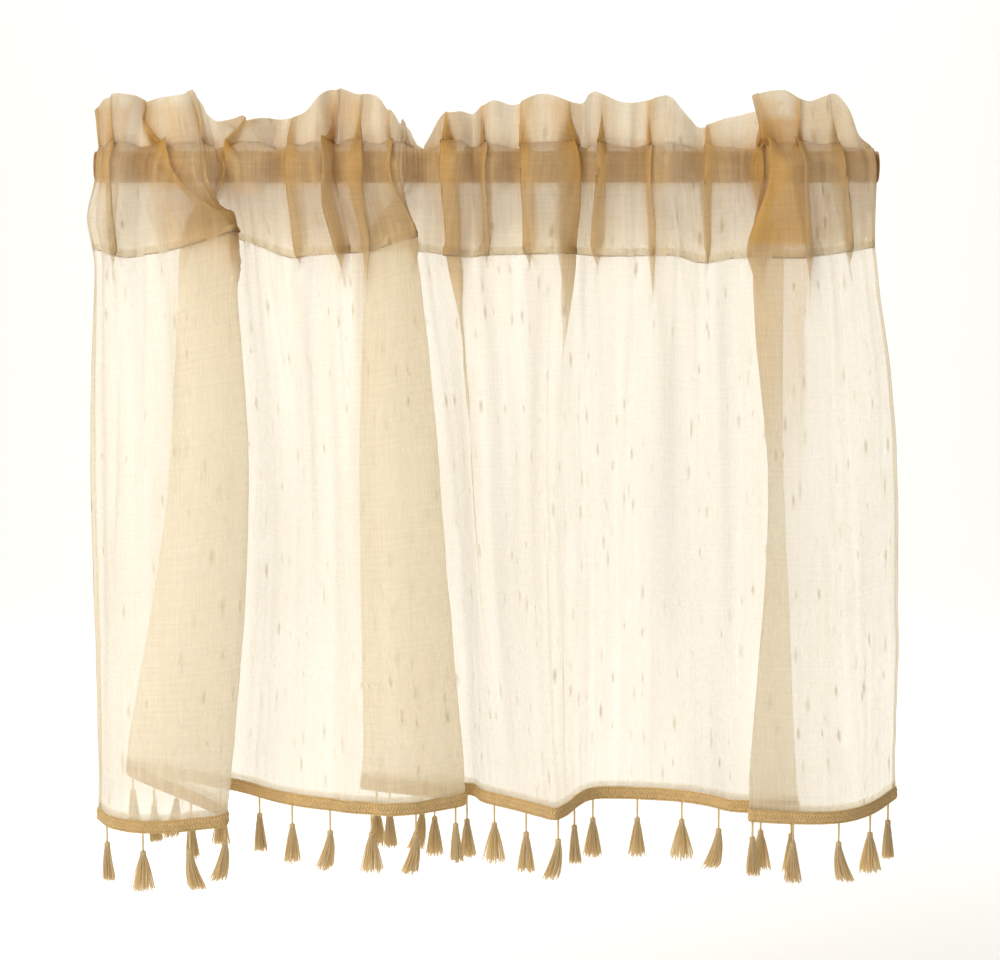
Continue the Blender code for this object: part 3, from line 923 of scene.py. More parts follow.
def creased(place, z):
    """The listed creases' depth at places along the flat cloth and heights."""
    depth = np.zeros(np.broadcast(place, z).shape)
    for crease in rows_of(CREASE_COLUMNS, CREASES):
        start = np.array((place_of(crease["from_gather"]), crease["from_z"] * MM))
        way = np.array((place_of(crease["to_gather"]), crease["to_z"] * MM)) - start
        t = ((place - start[0]) * way[0] + (z - start[1]) * way[1]) / (way @ way)
        held = np.clip(t, 0.0, 1.0)
        off = np.hypot(place - start[0] - held * way[0], z - start[1] - held * way[1])
        ends = np.sqrt(fade(held * 4) * fade((1 - held) * 2.2))
        depth += crease["depth"] * MM * np.exp(-((off / (crease["width"] * MM)) ** 2)) * ends
    return depth


def pleat_reach(pleat, place, z):
    """How far points lie from a pleat's middle, in widths of it, and how well it holds there."""
    top, low = PLEAT_TOP * MM, PLEAT_LOW * MM
    t = ease(np.clip((top - z) / (top - low), 0.0, 1.0))
    off = place - mix(place_of(pleat["from_gather"]), place_of(pleat["to_gather"]), t)
    off = off / (pleat["width"] * MM * (1 + PLEAT_OPENING * fade((z - 0.018) / 0.04)))
    return off, 1.0 - fade((low - z) / (pleat["fade"] * MM))


def in_pleats(place, z):
    """How far points lie within the pleats, from nought between them to one."""
    inside = np.zeros(z.shape)
    for pleat in rows_of(PLEAT_COLUMNS, PLEATS):
        off, held = pleat_reach(pleat, place, z)
        inside += np.exp(-(off**2) / 1.4) * held * pleat["overlap"] / FULL_OVERLAP
    return np.minimum(inside, 1.0)


def dense(place, z):
    """How much the listed stretches add to the gathered mask, which raises the cover and paints amber shade,
    with soft edges.
    """
    amount = np.zeros(z.shape)
    for part in rows_of(DENSE_COLUMNS, DENSE_SHADE_STRETCHES):
        left, right = place_of(part["from_gather"]), place_of(part["to_gather"])
        across = fade((place - left) / DENSE_EDGE + 0.5) * fade((right - place) / DENSE_EDGE + 0.5)
        above, below = z - part["low_z"] * MM, part["top_z"] * MM - z
        held = across * fade(above / (part["low_fade"] * MM) + 0.5) * fade(below / DENSE_FADE + 0.5)
        amount = np.maximum(amount, part["amount"] * held)
    return amount


def pleated(place, z):
    """How the cloth lies in its pleats: how far each point goes along, leans out, and is lifted."""
    along = np.zeros(np.broadcast(place, z).shape)
    lean, lift = np.zeros_like(along), np.zeros_like(along)
    for pleat in rows_of(PLEAT_COLUMNS, PLEATS):
        off, held = pleat_reach(pleat, place, z)
        held = held * (1.0 - PLEAT_LOOSENING * fade((z - 0.012) / 0.035))
        bell = off * np.exp(-(off**2)) * held * MM
        along -= pleat["overlap"] * bell
        lean -= pleat["depth"] * bell
        lift += PLEAT_LIFT * abs(pleat["depth"]) * np.exp(-(off**2) / 2) * held * MM
    edge = fade(place / PLEAT_FREE_EDGE) * fade((WIDTH - place) / PLEAT_FREE_EDGE)
    return along * edge, lean * edge, lift * edge


def gathered(place, waves, seed):
    """Small upright gathers of uneven width."""
    slow = soft_noise(place, np.zeros_like(place), 0.03, 1.0, seed)
    total = np.zeros_like(place)
    for i, (length, height) in enumerate(waves):
        strength = 0.55 + 0.45 * soft_noise(place, np.zeros_like(place), 0.045, 1.0, seed + 1 + i)
        total += height * strength * np.sin(2 * math.pi * place / length + 2.2 * slow + 1.7 * i)
    return total


class Panel:
    """The panel's cloth as one long strip: hem, fall, pocket and heading, over the top and back."""

    GATHER_WAVES = ((0.0115, 0.00080), (0.0170, 0.00120), (0.0262, 0.00160))
    TOP_TURNS = (0.15, 0.5, 0.85)
    HEM_SHARES = (1.0, 0.5, 0.15)
    UNDER_SHARES = (0.3, 1.0)
    ROLLED = np.array((SIDE_HEM, SIDE_HEM * 0.6, HEM_TURN * 1.3, HEM_TURN * 0.5))

    # Long folds and crumples: their size across and down the cloth, their seed and their depth.
    LONG_FOLDS = ((0.048, 0.30, 5, 0.0042), (0.023, 0.18, 6, 0.0022), (0.011, 0.16, 16, 0.0009))
    CRUMPLE = (0.013, 0.016, 7, 0.00028)
    SLANTED_CRUMPLE = (0.024, 0.030, 8, 0.00035)
    PUCKER_PITCH = 0.0062
    PUCKER_DEPTH = 0.0004
    LINES = {
        "fall": lambda drape, t: drape.fall_line(t),
        "front": lambda drape, t: drape.pocket_line(-1, t),
        "heading_front": lambda drape, t: drape.heading_line(t),
        "top": lambda drape, t: drape.heading_line(1.0),
        "heading_back": lambda drape, t: drape.heading_line(t),
        "back": lambda drape, t: drape.pocket_line(1, t),
    }

    def __init__(self, settings):
        self.settings = settings
        self.inner = np.linspace(0.0, WIDTH, settings.columns)
        self.across = np.concatenate((-self.ROLLED, self.inner, (WIDTH + self.ROLLED)[::-1]))
        self.turned = np.maximum(0.0, np.maximum(-self.across, self.across - WIDTH))
        self.place = np.clip(self.across, 0.0, WIDTH) + np.sign(-self.across) * self.turned
        self.drape = Drape(self.inner)
        self.rows = []
        self.lay_rows()

    def lay_rows(self):
        """Every row of the strip, from the turned-up hem to the turned-under end behind."""
        s = self.settings
        seam_drop = -np.mean(self.drape.seam_z)
        for share in self.HEM_SHARES:
            self.add_row("fall", 1.0 - BOTTOM_HEM * share / (HEM_DROP - seam_drop), 1.0)
        for t in np.linspace(1.0, 0.0, s.fall_rows):
            self.add_row("fall", t)
        for t in np.linspace(2.0, 0.0, s.pocket_rows)[1:]:
            self.add_row("front", t)
        for t in np.linspace(0.0, 1.0, s.heading_rows)[1:]:
            self.add_row("heading_front", t)
        for turn in self.TOP_TURNS:
            self.add_row("top", turn)
        for t in np.linspace(1.0, 0.0, s.heading_rows)[:-1]:
            self.add_row("heading_back", t)
        for t in np.linspace(0.0, 2.0, s.pocket_rows):
            self.add_row("back", t)
        for share in self.UNDER_SHARES:
            self.add_row("back", 2.0 - TURN_UNDER * share / seam_drop, 1.0)

    def add_row(self, zone, t, tuck=0.0):
        """A row on one of the drape's lines, its points drawn along into the pleats."""
        smooth = self.LINES[zone](self.drape, t)
        z = np.interp(self.place, self.inner, smooth[:, 2])
        along, lean, lift = pleated(self.place, z)
        at = np.clip(self.place + along, 0.0, WIDTH)
        if zone == "back":
            lift = lift * (2 * fade(t / 0.3) * fade((2.0 - t) / 0.4) - 1)
        self.rows.append({
            "zone": zone,
            "t": t,
            "tuck": tuck,
            "smooth": smooth,
            "at": at,
            "points": self.LINES[zone](Drape(at), t),
            "out": lift + lean if zone != "back" else lift - lean,
        })

    def per_row(self, name):
        return np.array([row[name] for row in self.rows])[:, None]

    def points(self):
        """The strip's points, with its layers parted and its wrinkles in."""
        grid = np.array([row["points"] for row in self.rows])
        t, tuck, zone = (self.per_row(name) for name in ("t", "tuck", "zone"))
        heading, top = np.char.startswith(zone, "heading"), zone == "top"
        out = self.outwards()
        shared = np.where(zone == "heading_back", -1.0, 1.0)
        grid = grid + out * (shared * np.array([row["out"] for row in self.rows]))[..., None]
        parted = np.where(heading, HEADING_GAP + HEADING_PUFF * 4 * t * (1 - t), 0.0)
        parted = np.where(top, HEADING_GAP * np.cos(math.pi * t), parted)
        folded = HEM_GAP * (np.minimum(1.0, self.turned / HEM_TURN)[None, :] + tuck)
        grid = grid + out * (parted - folded + self.wrinkles(grid))[..., None]
        grid[..., 2] += np.where(top, HEADING_GAP * np.sin(math.pi * t), 0.0)
        swell = np.exp(-(((grid[..., 2] - EDGE_BULGE_Z) / EDGE_BULGE_HEIGHT) ** 2))
        grid[..., 0] -= EDGE_BULGE * swell * np.exp(-((self.place / EDGE_BULGE_REACH) ** 2))
        self.out = out
        return self.clear_of_rod(grid)

    def outwards(self):
        """Unit directions out of each row's own right side, read where its points lie."""
        smooth = np.array([row["smooth"] for row in self.rows])
        out = unit(np.cross(np.gradient(smooth, axis=1), np.gradient(smooth, axis=0)) + 1e-12)
        tops = [i for i, row in enumerate(self.rows) if row["zone"] == "top"]
        before, after = tops[0] - 1, tops[-1] + 1
        out[before:after] = out[before - 1]
        out[after] = out[after + 1]
        hem, under = len(self.HEM_SHARES), len(self.UNDER_SHARES)
        out[: hem + 1] = out[hem + 1]
        out[-under - 1:] = out[-under - 2]
        rows = [
            np.stack([np.interp(row["at"], self.inner, level[:, axis]) for axis in range(3)], axis=-1)
            for row, level in zip(self.rows, out)
        ]
        return unit(np.array(rows))

    def wrinkles(self, grid):
        """How far the cloth stands out of its smooth drape, row by row."""
        place = np.broadcast_to(self.place, grid.shape[:2])
        z = grid[..., 2]

        def hills(across, down, seed, depth, slant=0.0):
            return soft_noise(place + z * slant, z, across, down, seed) * depth

        below = np.maximum(np.mean(self.drape.seam_z) - z, 0.0)
        gathers = gathered(place, self.GATHER_WAVES, seed=11)
        back_gathers = gathered(place, self.GATHER_WAVES, seed=47)
        long_folds = sum(hills(*folds) for folds in self.LONG_FOLDS)
        crumple = hills(*self.CRUMPLE) + hills(*self.SLANTED_CRUMPLE, slant=0.4)
        turns = 2 * math.pi * place / self.PUCKER_PITCH + hills(0.03, 1.0, 9, 3.0)
        pucker = np.sin(turns) * self.PUCKER_DEPTH
        hand = creased(place, z)
        result = np.zeros_like(z)
        for i, row in enumerate(self.rows):
            zone, t = row["zone"], row["t"]
            if zone == "fall":
                out = gathers[i] * np.exp(-below[i] / 0.060) + long_folds[i] * fade(below[i] / 0.10)
                out += crumple[i] + hand[i] + pucker[i] * np.exp(-below[i] / 0.005)
                out *= 1.0 - 0.75 * fade((t - 0.93) / 0.07)
            elif zone in ("front", "back"):
                own = gathers[i] if zone == "front" else back_gathers[i]
                pinch = math.exp(-t / 0.05) + math.exp(-(2.0 - t) / 0.06)
                out = own * (0.35 + 0.65 * abs(t - 1.0)) + crumple[i] * 1.4 + pucker[i] * pinch
                out += hand[i] if zone == "front" else -0.6 * hand[i]
                out *= fade(t / 0.2)
            else:
                up = 1.0 if zone == "top" else t
                out = gathers[i] * (1.15 - 0.55 * up) + crumple[i] * 1.5 + hand[i]
                out += pucker[i] * math.exp(-up / 0.1)
                out *= fade(up / 0.15) * (-1.0 if zone == "heading_back" else 1.0)
            result[i] = out
        return result * self.settings.wrinkle_depth

    @staticmethod
    def clear_of_rod(grid):
        """Cloth that would lie in the rod is laid on it instead."""
        radius = np.hypot(grid[..., 1], grid[..., 2])
        needed = ROD_RADIUS + ROD_CLEARANCE
        scale = np.where(radius < needed, needed / np.maximum(radius, 1e-6), 1.0)
        grid[..., 1] *= scale
        grid[..., 2] *= scale
        return grid

    def mesh(self, grid):
        rows, columns = grid.shape[:2]
        index = np.arange(rows * columns).reshape(rows, columns)
        quads = np.stack((index[:-1, :-1], index[:-1, 1:], index[1:, 1:], index[1:, :-1]), axis=-1)
        mesh = bpy.data.meshes.new("panel_cloth")
        mesh.from_pydata(grid.reshape(-1, 3).tolist(), [], quads.reshape(-1, 4).tolist())
        steps = np.linalg.norm(np.diff(grid, axis=0), axis=-1).mean(axis=1)
        down = np.concatenate(([0.0], np.cumsum(steps)))
        across = np.broadcast_to(self.across, (rows, columns))
        uv = np.stack((across, np.broadcast_to(down[:, None], (rows, columns))), axis=-1)
        corners = np.empty(len(mesh.loops), np.int32)
        mesh.loops.foreach_get("vertex_index", corners)
        layer = mesh.uv_layers.new(name="cloth")
        layer.data.foreach_set("uv", uv.reshape(-1, 2)[corners].ravel().astype(np.float32))
        # The gathered mask, which the linen reads for its cover and its painted amber shade.
        tight = mesh.attributes.new("gathered", "FLOAT", "POINT")
        tight.data.foreach_set("value", self.tightness(grid).ravel())
        mesh.shade_smooth()
        return mesh

    def tightness(self, grid):
        """How tightly the cloth is gathered: by its height, and most in the pleats. This mask sets the
        painted amber shade.
        """
        z = grid[..., 2]
        levels, pleats, between = np.array(TIGHTNESS_AND_SHADE).T
        pleats, between = (np.interp(z, levels * MM, amounts) for amounts in (pleats, between))
        place = np.broadcast_to(self.place, z.shape)
        tight = mix(between, pleats, in_pleats(place, z))
        return np.maximum(tight, dense(place, z)).astype(np.float32)


def running_stitch(material):
    """Short threads laid end to end along lines, with a gap between them."""
    inputs = {
        "Pitch": 0.0030,
        "Stitch length": 0.0023,
        "Thread radius": 0.00015,
    }
    graph = Graph.of_geometry("running_stitch", inputs)
    given = graph.given
    curve = graph.add("GeometryNodeMeshToCurve", {"Mesh": given["Geometry"]})
    thread = graph.add("GeometryNodeMeshCylinder", {
        "Vertices": 6,
        "Side Segments": 3,
        "Radius": given["Thread radius"],
        "Depth": given["Stitch length"],
    })
    position = graph.add("GeometryNodeInputPosition")
    reach = graph.parts(position)[2] / (given["Stitch length"] * 0.5)
    taper = 1.0 - reach * reach * 0.45
    slim = graph.vector_math("MULTIPLY", position, graph.vector(taper, taper, 1.0))
    tangent = graph.add("GeometryNodeInputTangent")
    placed = graph.add("GeometryNodeInstanceOnPoints", {
        "Points": graph.resampled(curve, given["Pitch"]),
        "Instance": graph.add("GeometryNodeSetPosition", {"Geometry": thread, "Position": slim}),
        "Rotation": graph.add("FunctionNodeAlignRotationToVector", {"Vector": tangent}, axis="Z"),
    })
    return graph.finished(placed, material)


def wound_strand():
    """A strand that swings up and down and in and out along a curve, as in a plait or a twist."""
    inputs = {
        "Height": 0.0,
        "Swing": 0.001,
        "Depth": 0.0005,
        "Pitch": 0.01,
        "Phase": 0.0,
        "Crossings": 2.0,
        "Lead": 0.0,
        "Radius": 0.0005,
        "Step": 0.001,
        "Sides": 5,
    }
    graph = Graph.of_geometry("wound_strand", inputs)
    given = graph.given
    curve = graph.resampled(given["Geometry"], given["Step"])
    length = graph.add("GeometryNodeSplineParameter", output="Length")
    angle = (length / given["Pitch"] + given["Phase"]) * (2 * math.pi)
    crossing = angle * given["Crossings"] + given["Lead"]
    swing = graph.math("SINE", angle) * given["Swing"]
    depth = graph.math("SINE", crossing) * given["Depth"]
    tangent = graph.add("GeometryNodeInputTangent")
    front = graph.vector_math("NORMALIZE", graph.vector_math("CROSS_PRODUCT", tangent, (0.0, 0.0, 1.0)))
    upright = graph.vector(0.0, 0.0, swing + given["Height"])
    offset = graph.vector_math("ADD", upright, graph.scaled(front, depth))
    laid = graph.add("GeometryNodeSetPosition", {"Geometry": curve, "Offset": offset})
    return graph.give(Geometry=graph.tube(laid, given["Sides"], given["Radius"]))


def braid_graph(material):
    """A flat braid of crossing strands over a tape, between twisted edge cords, on the hem line."""
    inputs = {
        "Braid height": BRAID_HEIGHT,
        "Tape thickness": 0.0006,
        "Strand radius": 0.00105,
        "Pitch": 0.0130,
        "Edge radius": 0.00062,
        "Edge pitch": 0.0034,
    }
    graph = Graph.of_geometry("braid", inputs)
    given = graph.given
    height, edge = given["Braid height"], given["Edge radius"]
    curve = graph.add("GeometryNodeMeshToCurve", {"Mesh": given["Geometry"]})
    strand = wound_strand()
    parts = [
        graph.group(strand, {
            "Geometry": curve,
            "Swing": height * 0.315,
            "Depth": given["Strand radius"] * 0.9,
            "Pitch": given["Pitch"],
            "Phase": i / BRAID_STRANDS,
            "Crossings": 4.0,
            "Radius": given["Strand radius"],
            "Step": 0.0011,
        })
        for i in range(BRAID_STRANDS)
    ]
    parts += [
        graph.group(strand, {
            "Geometry": curve,
            "Height": height * level,
            "Swing": edge,
            "Depth": edge,
            "Pitch": given["Edge pitch"],
            "Phase": phase,
            "Crossings": 1.0,
            "Lead": math.pi / 2,
            "Radius": edge,
            "Step": 0.0012,
            "Sides": 4,
        })
        for level in (-0.45, 0.45)
        for phase in (0.0, 0.5)
    ]
    level = graph.add("GeometryNodeSetCurveNormal", {"Curve": curve}, mode="Z_UP")
    sizes = {"Width": given["Tape thickness"], "Height": height * 0.88}
    tape = graph.swept(level, graph.add("GeometryNodeCurvePrimitiveQuadrilateral", sizes))
    return graph.finished(graph.joined([*parts, tape]), material)


def tassel_graph(material):
    """Tassels on points: a twisted cord, a bound neck and a skirt of loose threads."""
    inputs = {
        "Threads": 64,
        "Thread radius": 0.00042,
        "Cord radius": 0.00060,
        "Cord pitch": 0.0030,
        "Neck radius": 0.0020,
        "Neck height": 0.0042,
        "Binding radius": 0.00033,
        "Skirt length": 0.0285,
        "Seed": 3,
    }
    graph = Graph.of_geometry("tassels", inputs)
    given = graph.given
    place = graph.add("GeometryNodeInputPosition")
    rooted = graph.stored(given["Geometry"], "root", place, "FLOAT_VECTOR")
    root = graph.attribute("root", "FLOAT_VECTOR")
    cord, spread, right, front = (graph.attribute(name) for name in TASSEL_COLUMNS.split())
    number = graph.attribute("number")
    cut, stray, lean = (graph.attribute(name) for name, low, high in TASSEL_CHANCES)
    way_down = graph.add("GeometryNodeSplineParameter", output="Factor")

    def strands(amount, steps):
        """Copies of each tassel's point, each with its number and a line to shape."""
        made = {"Geometry": rooted, "Amount": amount}
        copies = graph.add("GeometryNodeDuplicateElements", made, domain="POINT")
        numbered = graph.stored(copies, "number", copies["Duplicate Index"])
        for seed, (name, low, high) in enumerate(TASSEL_CHANCES, 1):
            limits = {2: low, 3: high, "Seed": given["Seed"] + seed}
            chance = graph.add("FunctionNodeRandomValue", limits, output=1, data_type="FLOAT")
            numbered = graph.stored(numbered, name, chance)
        line = graph.add("GeometryNodeCurvePrimitiveLine", {"End": (0.0, 0.0, -1.0)})
        fine = graph.add("GeometryNodeResampleCurve", {"Curve": line, "Count": steps})
        placed = graph.add("GeometryNodeInstanceOnPoints", {"Points": numbered, "Instance": fine})
        return graph.add("GeometryNodeRealizeInstances", {"Geometry": placed})

    def tube(curves, position, radius, sides):
        inputs = {"Geometry": curves, "Position": graph.vector_math("ADD", root, position)}
        return graph.tube(graph.add("GeometryNodeSetPosition", inputs), sides, radius)

    def around(angle, radius, z):
        x = graph.math("COSINE", angle) * radius
        return graph.vector(x, graph.math("SINE", angle) * radius, z)

    ply = way_down * cord / given["Cord pitch"] * (2 * math.pi) + number * math.pi
    cord_line = around(ply, given["Cord radius"] * 0.9, way_down * cord * -1.0)
    cords = tube(strands(2, 16), cord_line, given["Cord radius"], 4)

    neck_top = (cord + 0.0010) * -1.0
    wrap_z = neck_top - way_down * given["Neck height"] * 0.72
    wrap_line = around(way_down * (2 * math.pi * 6), given["Neck radius"] + 0.0002, wrap_z)
    bindings = tube(strands(1, 54), wrap_line, given["Binding radius"], 4)

    drop = way_down * (given["Neck height"] + given["Skirt length"] * cut)
    into_neck = graph.ramp(drop, 0.0, 0.0014, 0.12, 1.0)
    below = graph.math("MAXIMUM", (drop - given["Neck height"]) / given["Skirt length"], 0.0)
    widening = below ** 0.8 * (spread - given["Neck radius"])
    radius = given["Neck radius"] * into_neck + widening + stray * below * 0.0006
    share = graph.math("SQRT", (number + 0.5) / given["Threads"])
    swirl = number * (math.pi * (3 - math.sqrt(5))) + lean * below * 0.35
    straight = around(swirl, radius * share, (cord + drop) * -1.0)
    bend = below ** 1.8
    sway = graph.vector(right * bend, front * bend * -1.0, 0.0)
    skirt_line = graph.vector_math("ADD", straight, sway)
    skirts = tube(strands(given["Threads"], 9), skirt_line, given["Thread radius"], 3)
    return graph.finished(graph.joined([cords, bindings, skirts]), material)


class CurtainCloth(bpy.types.PropertyGroup):
    columns: bpy.props.IntProperty(
        name="Columns", description="Points across the cloth", default=536, min=40
    )
    fall_rows: bpy.props.IntProperty(
        name="Fall rows", description="Rows from seam to hem", default=80, min=20
    )
    pocket_rows: bpy.props.IntProperty(
        name="Pocket rows", description="Rows round each side of the rod", default=33, min=8
    )
    heading_rows: bpy.props.IntProperty(
        name="Heading rows", description="Rows up each side of the heading", default=15, min=4
    )
    wrinkle_depth: bpy.props.FloatProperty(
        name="Wrinkle depth", description="How deep the small wrinkles are, as a share", default=1.0, min=0.0
    )
    thread_pitch: bpy.props.FloatProperty(
        name="Thread pitch", description="Distance between threads", default=0.0009, unit="LENGTH"
    )
    streaks: bpy.props.FloatProperty(name="Streaks", description="How uneven the threads are", default=0.55)
    slubs: bpy.props.FloatProperty(name="Slubs", description="How dark the slubs are", default=0.75)
    cover: bpy.props.FloatProperty(
        name="Cover", description="How far the threads close the cloth", default=0.34
    )
    glow_share: bpy.props.FloatProperty(
        name="Glow share", description="Share of the cloth's light that comes from behind", default=0.45
    )
    cloth_color: bpy.props.FloatVectorProperty(
        name="Cloth", description="The cloth's own colour", default=(0.83, 0.745, 0.57), subtype="COLOR"
    )
    cloth_drift: bpy.props.FloatVectorProperty(
        name="Cloth drift", description="What it drifts to", default=(0.80, 0.69, 0.49), subtype="COLOR"
    )
    # Painted shade: the amber that gathered cloth turns to stands in for light through stacked layers and
    # the rod behind.
    gathered_color: bpy.props.FloatVectorProperty(
        name="Painted layer shade", description="In tight gathers", default=(0.72, 0.42, 0.11), subtype="COLOR"
    )
    slub_color: bpy.props.FloatVectorProperty(
        name="Slub", description="The slubs' colour", default=(0.40, 0.34, 0.25), subtype="COLOR"
    )
    glow_color: bpy.props.FloatVectorProperty(
        name="Glow", description="Light through the cloth", default=(0.90, 0.835, 0.69), subtype="COLOR"
    )


class CurtainTrim(bpy.types.PropertyGroup):
    stitch_pitch: bpy.props.FloatProperty(
        name="Stitch pitch", description="Distance between stitches", default=0.0030, unit="LENGTH"
    )
    thread_color: bpy.props.FloatVectorProperty(
        name="Thread", description="The sewing thread's colour", default=(0.88, 0.76, 0.58), subtype="COLOR"
    )
    braid_color: bpy.props.FloatVectorProperty(
        name="Braid", description="The braid's colour", default=(1.0, 0.76, 0.38), subtype="COLOR"
    )
    yarn_color: bpy.props.FloatVectorProperty(
        name="Tassels", description="The tassels' colour", default=(1.0, 0.87, 0.60), subtype="COLOR"
    )
    braid_glow: bpy.props.FloatVectorProperty(
        name="Braid glow", description="Light through it", default=(1.0, 0.82, 0.46), subtype="COLOR"
    )
    yarn_glow: bpy.props.FloatVectorProperty(
        name="Tassel glow", description="Light through them", default=(1.0, 0.88, 0.60), subtype="COLOR"
    )
    tassel_threads: bpy.props.IntProperty(
        name="Threads", description="Threads in each tassel's skirt", default=64, min=6
    )


class CurtainRod(bpy.types.PropertyGroup):
    sides: bpy.props.IntProperty(name="Sides", description="Sides of the rod's circle", default=96, min=12)
    edge: bpy.props.FloatProperty(
        name="End edge", description="Bevel at the rod's ends", default=0.0008, unit="LENGTH"
    )
    wood_color: bpy.props.FloatVectorProperty(
        name="Wood", description="The wood's light grain", default=(0.34, 0.145, 0.016), subtype="COLOR"
    )
    wood_dark: bpy.props.FloatVectorProperty(
        name="Dark grain", description="The wood's dark grain", default=(0.26, 0.10, 0.012), subtype="COLOR"
    )


class CurtainStage(bpy.types.PropertyGroup):
    floor_height: bpy.props.FloatProperty(
        name="Floor height", description="Height of the floor under the rod", default=-0.80, unit="LENGTH"
    )
    camera_distance: bpy.props.FloatProperty(
        name="Camera distance", description="From the rod to the camera", default=2.2, unit="LENGTH"
    )
    lens: bpy.props.FloatProperty(name="Lens", description="Focal length in millimetres", default=98.5)
    room_light: bpy.props.FloatProperty(
        name="Room light", description="Even light from all round", default=0.24
    )
    backdrop_light: bpy.props.FloatProperty(
        name="Backdrop light", description="Power of the lamp on the backdrop", default=84.0, unit="POWER"
    )
    back_light: bpy.props.FloatProperty(
        name="Back light", description="Power of the lamp behind the curtain", default=5.0, unit="POWER"
    )
    front_light: bpy.props.FloatProperty(
        name="Front light", description="Power of the lamp before the curtain", default=44.0, unit="POWER"
    )
    floor_color: bpy.props.FloatVectorProperty(
        name="Floor", description="The floor's colour", default=(0.93, 0.92, 0.90), subtype="COLOR"
    )


def placed_piece(piece, slot, *nodes):
    """Attaches a finished piece to its body and hides the parts that it stands for; the slot is not used."""
    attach(piece, BODY)
    if nodes:
        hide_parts(*nodes)
    return piece


class CURTAIN_OT_rod(bpy.types.Operator):
    """Turn the plain wooden rod"""

    bl_idname = "curtain.rod"
    bl_label = "Rod"

    def execute(self, context):
        s = context.scene.curtain_rod
        bm = bmesh.new()
        middle = Matrix.Translation((ROD_LENGTH / 2, 0, 0)) @ Matrix.Rotation(math.pi / 2, 4, "Y")
        radii = {"radius1": ROD_RADIUS, "radius2": ROD_RADIUS}
        bmesh.ops.create_cone(bm, cap_ends=True, segments=s.sides, depth=ROD_LENGTH, matrix=middle, **radii)
        rims = [edge for edge in bm.edges if any(len(face.verts) > 4 for face in edge.link_faces)]
        bmesh.ops.bevel(bm, geom=rims, offset=s.edge, segments=3, affect="EDGES", profile=0.5)
        bmesh.ops.recalc_face_normals(bm, faces=bm.faces)
        mesh = bpy.data.meshes.new("rod_turned")
        bm.to_mesh(mesh)
        bm.free()
        mesh.shade_smooth()
        mesh.set_sharp_from_angle(angle=math.radians(50))
        mesh.materials.append(wood_material(s))
        placed_piece(new_piece("rod_turned", mesh), "wood", "rod")
        return {"FINISHED"}


class CURTAIN_OT_panel(bpy.types.Operator):
    """Hang the sheer cloth in its gathers and folds"""

    bl_idname = "curtain.panel"
    bl_label = "Panel"

    def execute(self, context):
        s = context.scene.curtain_cloth
        strip = Panel(s)
        mesh = strip.mesh(strip.points())
        mesh.materials.append(linen_material(s))
        placed_piece(new_piece("panel_cloth", mesh), "linen", "panel")
        return {"FINISHED"}


class CURTAIN_OT_stitching(bpy.types.Operator):
    """Sew the stitch line, the seam and the hems"""

    bl_idname = "curtain.stitching"
    bl_label = "Stitching"

    def execute(self, context):
        s = context.scene.curtain_trim
        cloth = context.scene.curtain_cloth
        strip = Panel(cloth)
        shown = strip.points() + strip.out * STITCH_LIFT
        zones = [row["zone"] for row in strip.rows]
        behind = zones.index("back")
        seam, seam_behind = zones.index("front") - 1, behind + cloth.pocket_rows - 1
        stitched = zones.index("heading_front") - 1
        edge = len(Panel.ROLLED)
        lines = [shown[row, edge:-edge] for row in (seam, stitched, behind, seam_behind)]
        side = edge + round(SIDE_HEM * 0.8 / (WIDTH / (cloth.columns - 1)))
        fall = slice(len(Panel.HEM_SHARES), zones.index("front"))
        lines += [shown[fall, side], shown[fall, -1 - side]]
        color = tuple(s.thread_color)
        material = yarn_material("sewing_thread", color, 0.6, color, scale=1.5)
        guide = line_mesh("stitch_lines", lines)
        piece = grown("stitching", guide, running_stitch(material), {"Pitch": s.stitch_pitch})
        placed_piece(piece, "yarn")
        return {"FINISHED"}


class CURTAIN_OT_braid(bpy.types.Operator):
    """Plait the braid along the hem"""

    bl_idname = "curtain.braid"
    bl_label = "Braid"

    def execute(self, context):
        s = context.scene.curtain_trim
        line = Drape(np.linspace(0.0, WIDTH, BRAID_STEPS)).fall_line(1.0)
        line[:, 2] -= SEWN_GAP + BRAID_HEIGHT / 2
        material = yarn_material(
            "braid_yarn", tuple(s.braid_color), 0.72, tuple(s.braid_glow), scale=0.8, glow_share=0.4
        )
        piece = grown("hem_braid", line_mesh("hem_line", [line]), braid_graph(material), {})
        placed_piece(piece, "braid", "braid")
        return {"FINISHED"}


class CURTAIN_OT_tassels(bpy.types.Operator):
    """Hang the tassels from the braid"""

    bl_idname = "curtain.tassels"
    bl_label = "Tassels"

    def execute(self, context):
        s = context.scene.curtain_trim
        line = Drape(np.linspace(0.0, WIDTH, round(WIDTH / SOLID_STEP) + 1)).fall_line(1.0)
        run = np.concatenate(([0.0], np.cumsum(np.linalg.norm(np.diff(line, axis=0), axis=1))))
        count = len(TASSEL_ORDER)
        spots = (np.arange(count) + 0.5) * run[-1] / count
        tops = np.stack([np.interp(spots, run, line[:, axis]) for axis in range(3)], axis=-1)
        tops[:, 2] -= SEWN_GAP + BRAID_HEIGHT
        kinds = [TASSEL_KINDS[kind] for kind in TASSEL_ORDER]
        sizes = {name: column(kinds, TASSEL_COLUMNS, name) for name in TASSEL_COLUMNS.split()}
        guide = line_mesh("tassel_tops", [[top] for top in tops], **sizes)
        material = yarn_material(
            "tassel_yarn", tuple(s.yarn_color), 0.92, tuple(s.yarn_glow), contrast=0.4, glow_share=0.60
        )
        piece = grown("tassel_row", guide, tassel_graph(material), {"Threads": s.tassel_threads})
        placed_piece(piece, "yarn", *(f"tassel_{i + 1:02d}" for i in range(count)))
        return {"FINISHED"}


